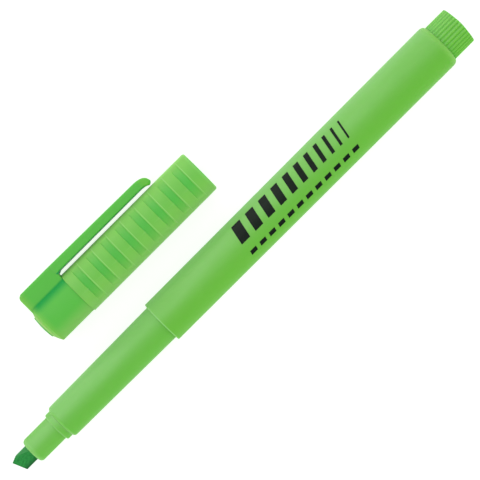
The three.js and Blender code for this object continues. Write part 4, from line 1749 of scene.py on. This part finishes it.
@dataclass
class InnerCap:
    """The liner that seals over the nose, with a button that shows in the crown's end."""

    axis: AxisFrame
    radius: float = 3.77
    bore_radius: float = 3.17
    button_radius: float = 2.85
    button_edge: float = 0.12
    button_dome: float = 0.22
    centre_ring_share: float = 0.14
    centre_ring_fall: float = 0.014
    mid_ring_share: float = 0.5
    mid_ring_fall: float = 0.05
    mid_ring_curve: float = 3.0
    step_behind_button: float = 1.8
    step_edge: float = 0.05
    rim_edge: float = 0.2
    cavity_edge: float = 0.5
    end_wall: float = 1.0

    def build(self) -> bpy.types.Object:
        """Builds the liner.

        Returns:
            The inner cap.
        """
        end, mouth = self.axis.span("inner_cap")
        step = end + self.step_behind_button
        cavity = step + self.end_wall
        outline = rounded([
            (end, 0.0, 0.0),
            (end + self.centre_ring_fall, self.button_radius * self.centre_ring_share, 0.0),
            (end + self.mid_ring_fall, self.button_radius * self.mid_ring_share, self.mid_ring_curve),
            (end + self.button_dome, self.button_radius, self.button_edge),
            (step, self.button_radius, self.step_edge),
            (step, self.radius, self.rim_edge),
            (mouth, self.radius, self.rim_edge),
            (mouth, self.bore_radius, self.rim_edge),
            (cavity, self.bore_radius, self.cavity_edge),
            (cavity, 0.0, 0.0),
        ], steps=5, closed=False)
        return spun("inner_cap_liner", self.axis, outline, even_angles(SMALL_SEGMENTS), closed=False)

    def dress(self, piece: bpy.types.Object, finishes: Finishes) -> None:
        """Finishes the liner and ties it to the cap."""
        dress(piece, finishes.by_name["liner"], Body.CAP, "holder_plastic", "inner_cap")


@dataclass
class ClipArm:
    """The slim sprung arm, with rounded edges and a toe that hooks in towards the tube."""

    axis: AxisFrame
    underside: float = 6.085
    root_thickness: float = 2.3
    tip_thickness: float = 2.05
    root_half_width: float = 2.9
    toe_half_width: float = 2.1
    edge_radius: float = 0.4
    root_fillet: float = 0.35
    root_overlap: float = 0.45
    toe_run: float = 3.4
    toe_outer_turn: float = 0.35
    toe_outer_end: Point = (0.05, 6.5)
    toe_inner_turn: float = 1.7
    toe_inner_end: Point = (1.05, 5.7)
    toe_steps: int = 10
    toe_round: float = 0.4
    toe_taper: float = 0.42
    toe_round_steps: int = 5
    edge_limit: float = 0.95
    bend_length: float = 7.0
    ring_steps: int = 6

    def section(self, low: Point, high: Point, half_width: float, edge: float) -> list[Vector]:
        """Draws one rounded cross-section of the arm.

        Args:
            low: The inner edge's place along the cap and out from it.
            high: The outer edge's place.
            half_width: Half the arm's width here.
            edge: Radius of the section's corners.

        Returns:
            The section's places in metres.
        """
        centre = ((low[0] + high[0]) / 2, (low[1] + high[1]) / 2)
        half = math.dist(low, high) / 2
        along = ((high[0] - low[0]) / 2 / half, (high[1] - low[1]) / 2 / half)
        edge = min(edge, half * self.edge_limit, half_width * self.edge_limit)
        places = []
        for turn, (su, sv) in enumerate(((1, 1), (-1, 1), (-1, -1), (1, -1))):
            for k in range(self.ring_steps + 1):
                angle = math.pi / 2 * (turn + k / self.ring_steps)
                u = su * (half - edge) + edge * math.cos(angle)
                v = sv * (half_width - edge) + edge * math.sin(angle)
                places.append(self.axis.point(centre[0] + u * along[0], centre[1] + u * along[1], v))
        return places

    def build(self) -> bpy.types.Object:
        """Sweeps the section along the arm and rounds off the toe.

        Returns:
            The clip arm.
        """
        root, tip = self.axis.span("clip_arm")
        start = root - self.root_overlap
        turn = tip - self.toe_run
        rings = []
        for share in (0.0, 0.02, 0.04, 0.06, 0.1, 0.2, 0.35, 0.5, 0.65, 0.8, 0.92, 1.0):
            x = start + (turn - start) * share
            outer = self.underside + self.root_thickness + (self.tip_thickness - self.root_thickness) * share
            near = max(0.0, 1.0 - max(0.0, x - root) / (2 * self.root_fillet))
            width = self.root_half_width + (self.toe_half_width - self.root_half_width) * share
            low = (x, self.underside - self.root_fillet * near**2)
            rings.append(self.section(low, (x, outer), width, self.edge_radius))
        outer_tip = self.underside + self.tip_thickness
        outer_bend = (
            (turn, outer_tip),
            (tip - self.toe_outer_turn, outer_tip),
            (tip - self.toe_outer_end[0], self.toe_outer_end[1]),
        )
        inner_bend = (
            (turn, self.underside),
            (tip - self.toe_inner_turn, self.underside),
            (tip - self.toe_inner_end[0], self.toe_inner_end[1]),
        )
        for i in range(1, self.toe_steps + 1):
            t = i / self.toe_steps
            weights = ((1 - t) ** 2, 2 * t * (1 - t), t * t)
            high = tuple(sum(w * p[k] for w, p in zip(weights, outer_bend)) for k in (0, 1))
            low = tuple(sum(w * p[k] for w, p in zip(weights, inner_bend)) for k in (0, 1))
            rings.append(self.section(low, high, self.toe_half_width, self.edge_radius))
        across = (high[0] - low[0], high[1] - low[1])
        length = math.hypot(*across)
        forward = (across[1] / length, -across[0] / length)
        for i in range(1, self.toe_round_steps + 1):
            angle = math.pi / 2 * i / self.toe_round_steps
            push = self.toe_round * math.sin(angle)
            pull = self.toe_taper * (1 - math.cos(angle)) / length
            a = tuple(low[k] + across[k] * pull + forward[k] * push for k in (0, 1))
            b = tuple(high[k] - across[k] * pull + forward[k] * push for k in (0, 1))
            width = self.toe_half_width - self.toe_round * (1 - math.cos(angle))
            rings.append(self.section(a, b, width, self.edge_radius))
        return lofted("clip_arm_sprung", rings, True, True)

    def dress(self, piece: bpy.types.Object, finishes: Finishes) -> None:
        """Finishes the arm, hides its CAD node and bakes its placement into its mesh; it is not tied to a
        body.
        """
        piece.data.materials.append(finishes.by_name["clip"])
        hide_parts("clip_arm")
        root = self.axis.span("clip_arm")[0]
        middle = self.underside + self.root_thickness / 2
        start = self.axis.point(root, middle, 0)
        end = self.axis.point(root + self.bend_length, middle, 0)
        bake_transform(piece)
        log.info("%s: %d faces, bends from cap to clip", piece.name, len(piece.data.polygons))


# ---------------------------------------------------------------- the studio


@dataclass
class Studio:
    """Pale floor, soft light and a camera that looks straight down."""

    view_width: float = 103.226
    distance: float = 0.55
    sensor: float = 36.0
    centre_along_pen: float = 68.49
    centre_beside_pen: float = 0.6
    sky_strength: float = 1.0
    key_power: float = 14.0
    fill_power: float = 12.0
    floor_glow: float = 0.74
    floor_drop: float = 0.00006
    floor_size: float = 3.0
    floor_tones: Point = (0.4, 0.44)
    side_box_place: Point3 = (-0.1, 0.62, 0.24)
    side_box_size: float = 0.6
    top_box_place: Point3 = (-0.05, 0.3, 0.7)
    top_box_size: float = 0.5
    target: Point3 = (0.0, 0.0, 0.005)

    def add_camera(self, axis: AxisFrame) -> None:
        """Puts the camera over the pen, turned so that the pen runs from lower left to upper right."""
        data = bpy.data.cameras.new("camera")
        data.sensor_width = self.sensor
        data.lens = self.sensor * self.distance / MM / self.view_width
        data.clip_start = 0.01
        data.clip_end = 20.0
        camera = bpy.data.objects.new("camera", data)
        camera.location = axis.point(self.centre_along_pen, self.centre_beside_pen, self.distance / MM)
        camera.rotation_euler = (0.0, 0.0, -math.pi / 4)
        bpy.context.scene.collection.objects.link(camera)
        bpy.context.scene.camera = camera

    def add_light(self, name: str, place: Point3, size: float, power: float, target: Vector) -> None:
        """Adds a square soft light that faces a target.

        Args:
            name: The light's name.
            place: Where it stands, in metres.
            size: Its side, in metres.
            power: Its power, in watts.
            target: What it faces.
        """
        data = bpy.data.lights.new(name, "AREA")
        data.shape = "SQUARE"
        data.size = size
        data.energy = power
        light = bpy.data.objects.new(name, data)
        light.location = place
        light.visible_diffuse = False
        light.rotation_euler = (target - Vector(place)).to_track_quat("-Z", "Y").to_euler()
        bpy.context.scene.collection.objects.link(light)

    def add_floor(self) -> None:
        """Lays a large pale floor under the object."""
        mesh = bmesh.new()
        bmesh.ops.create_grid(mesh, x_segments=8, y_segments=8, size=self.floor_size)
        data = bpy.data.meshes.new("floor")
        mesh.to_mesh(data)
        mesh.free()
        floor = bpy.data.objects.new("floor", data)
        floor.location = (0.0, 0.0, min(0.0, CAD_BOUNDS[0].z) - self.floor_drop)
        material, tree, shader = new_material("studio_floor")
        speck = add_node(tree, "ShaderNodeTexNoise", Scale=40.0)
        darkest, palest = self.floor_tones
        tone = add_node(tree, "ShaderNodeMapRange", To_Min=darkest, To_Max=palest)
        tree.links.new(speck.outputs["Fac"], tone.inputs["Value"])
        tree.links.new(tone.outputs["Result"], shader.inputs["Base Color"])
        shader.inputs["Roughness"].default_value = 0.9
        shader.inputs["Specular IOR Level"].default_value = 0.1
        shader.inputs["Emission Color"].default_value = (1.0, 1.0, 1.0, 1.0)
        shader.inputs["Emission Strength"].default_value = self.floor_glow
        data.materials.append(material)
        bpy.context.scene.collection.objects.link(floor)

    def build(self, axis: AxisFrame) -> None:
        """Sets the whole studio.

        Args:
            axis: The pen's axis.
        """
        scene = bpy.context.scene
        scene.view_settings.view_transform = "Standard"
        world = bpy.data.worlds.new("studio_sky")
        world.use_nodes = True
        sky = world.node_tree.nodes["Background"]
        sky.inputs["Color"].default_value = (1.0, 1.0, 1.0, 1.0)
        sky.inputs["Strength"].default_value = self.sky_strength
        scene.world = world
        self.add_camera(axis)
        self.add_floor()
        target = Vector(self.target)
        self.add_light("side_softbox", self.side_box_place, self.side_box_size, self.key_power, target)
        self.add_light("top_softbox", self.top_box_place, self.top_box_size, self.fill_power, target)


# ---------------------------------------------------------------- assembly


def main() -> None:
    """Builds the studio and every sub-assembly in order."""
    logging.basicConfig(level=logging.INFO, format="%(name)s: %(message)s")
    pen_axis = AxisFrame.through("barrel", False).at_x(node_box("nib")[0].x)
    cap_axis = AxisFrame.through("cap_tube", True)
    Studio().build(pen_axis)
    finishes = Finishes(pen_axis, cap_axis)
    barrel = Barrel(pen_axis)
    sub_assemblies = (
        barrel,
        FrontSection(pen_axis),
        NibHolder(pen_axis),
        Nib(pen_axis),
        EndPlug(pen_axis),
        BarrelPrint(pen_axis, barrel),
        CapTube(cap_axis),
        CapCrown(cap_axis),
        InnerCap(cap_axis),
        ClipArm(cap_axis),
    )
    for sub_assembly in sub_assemblies:
        sub_assembly.dress(sub_assembly.build(), finishes)
    InkSystem().dress(finishes)


if __name__ == "__main__":
    main()
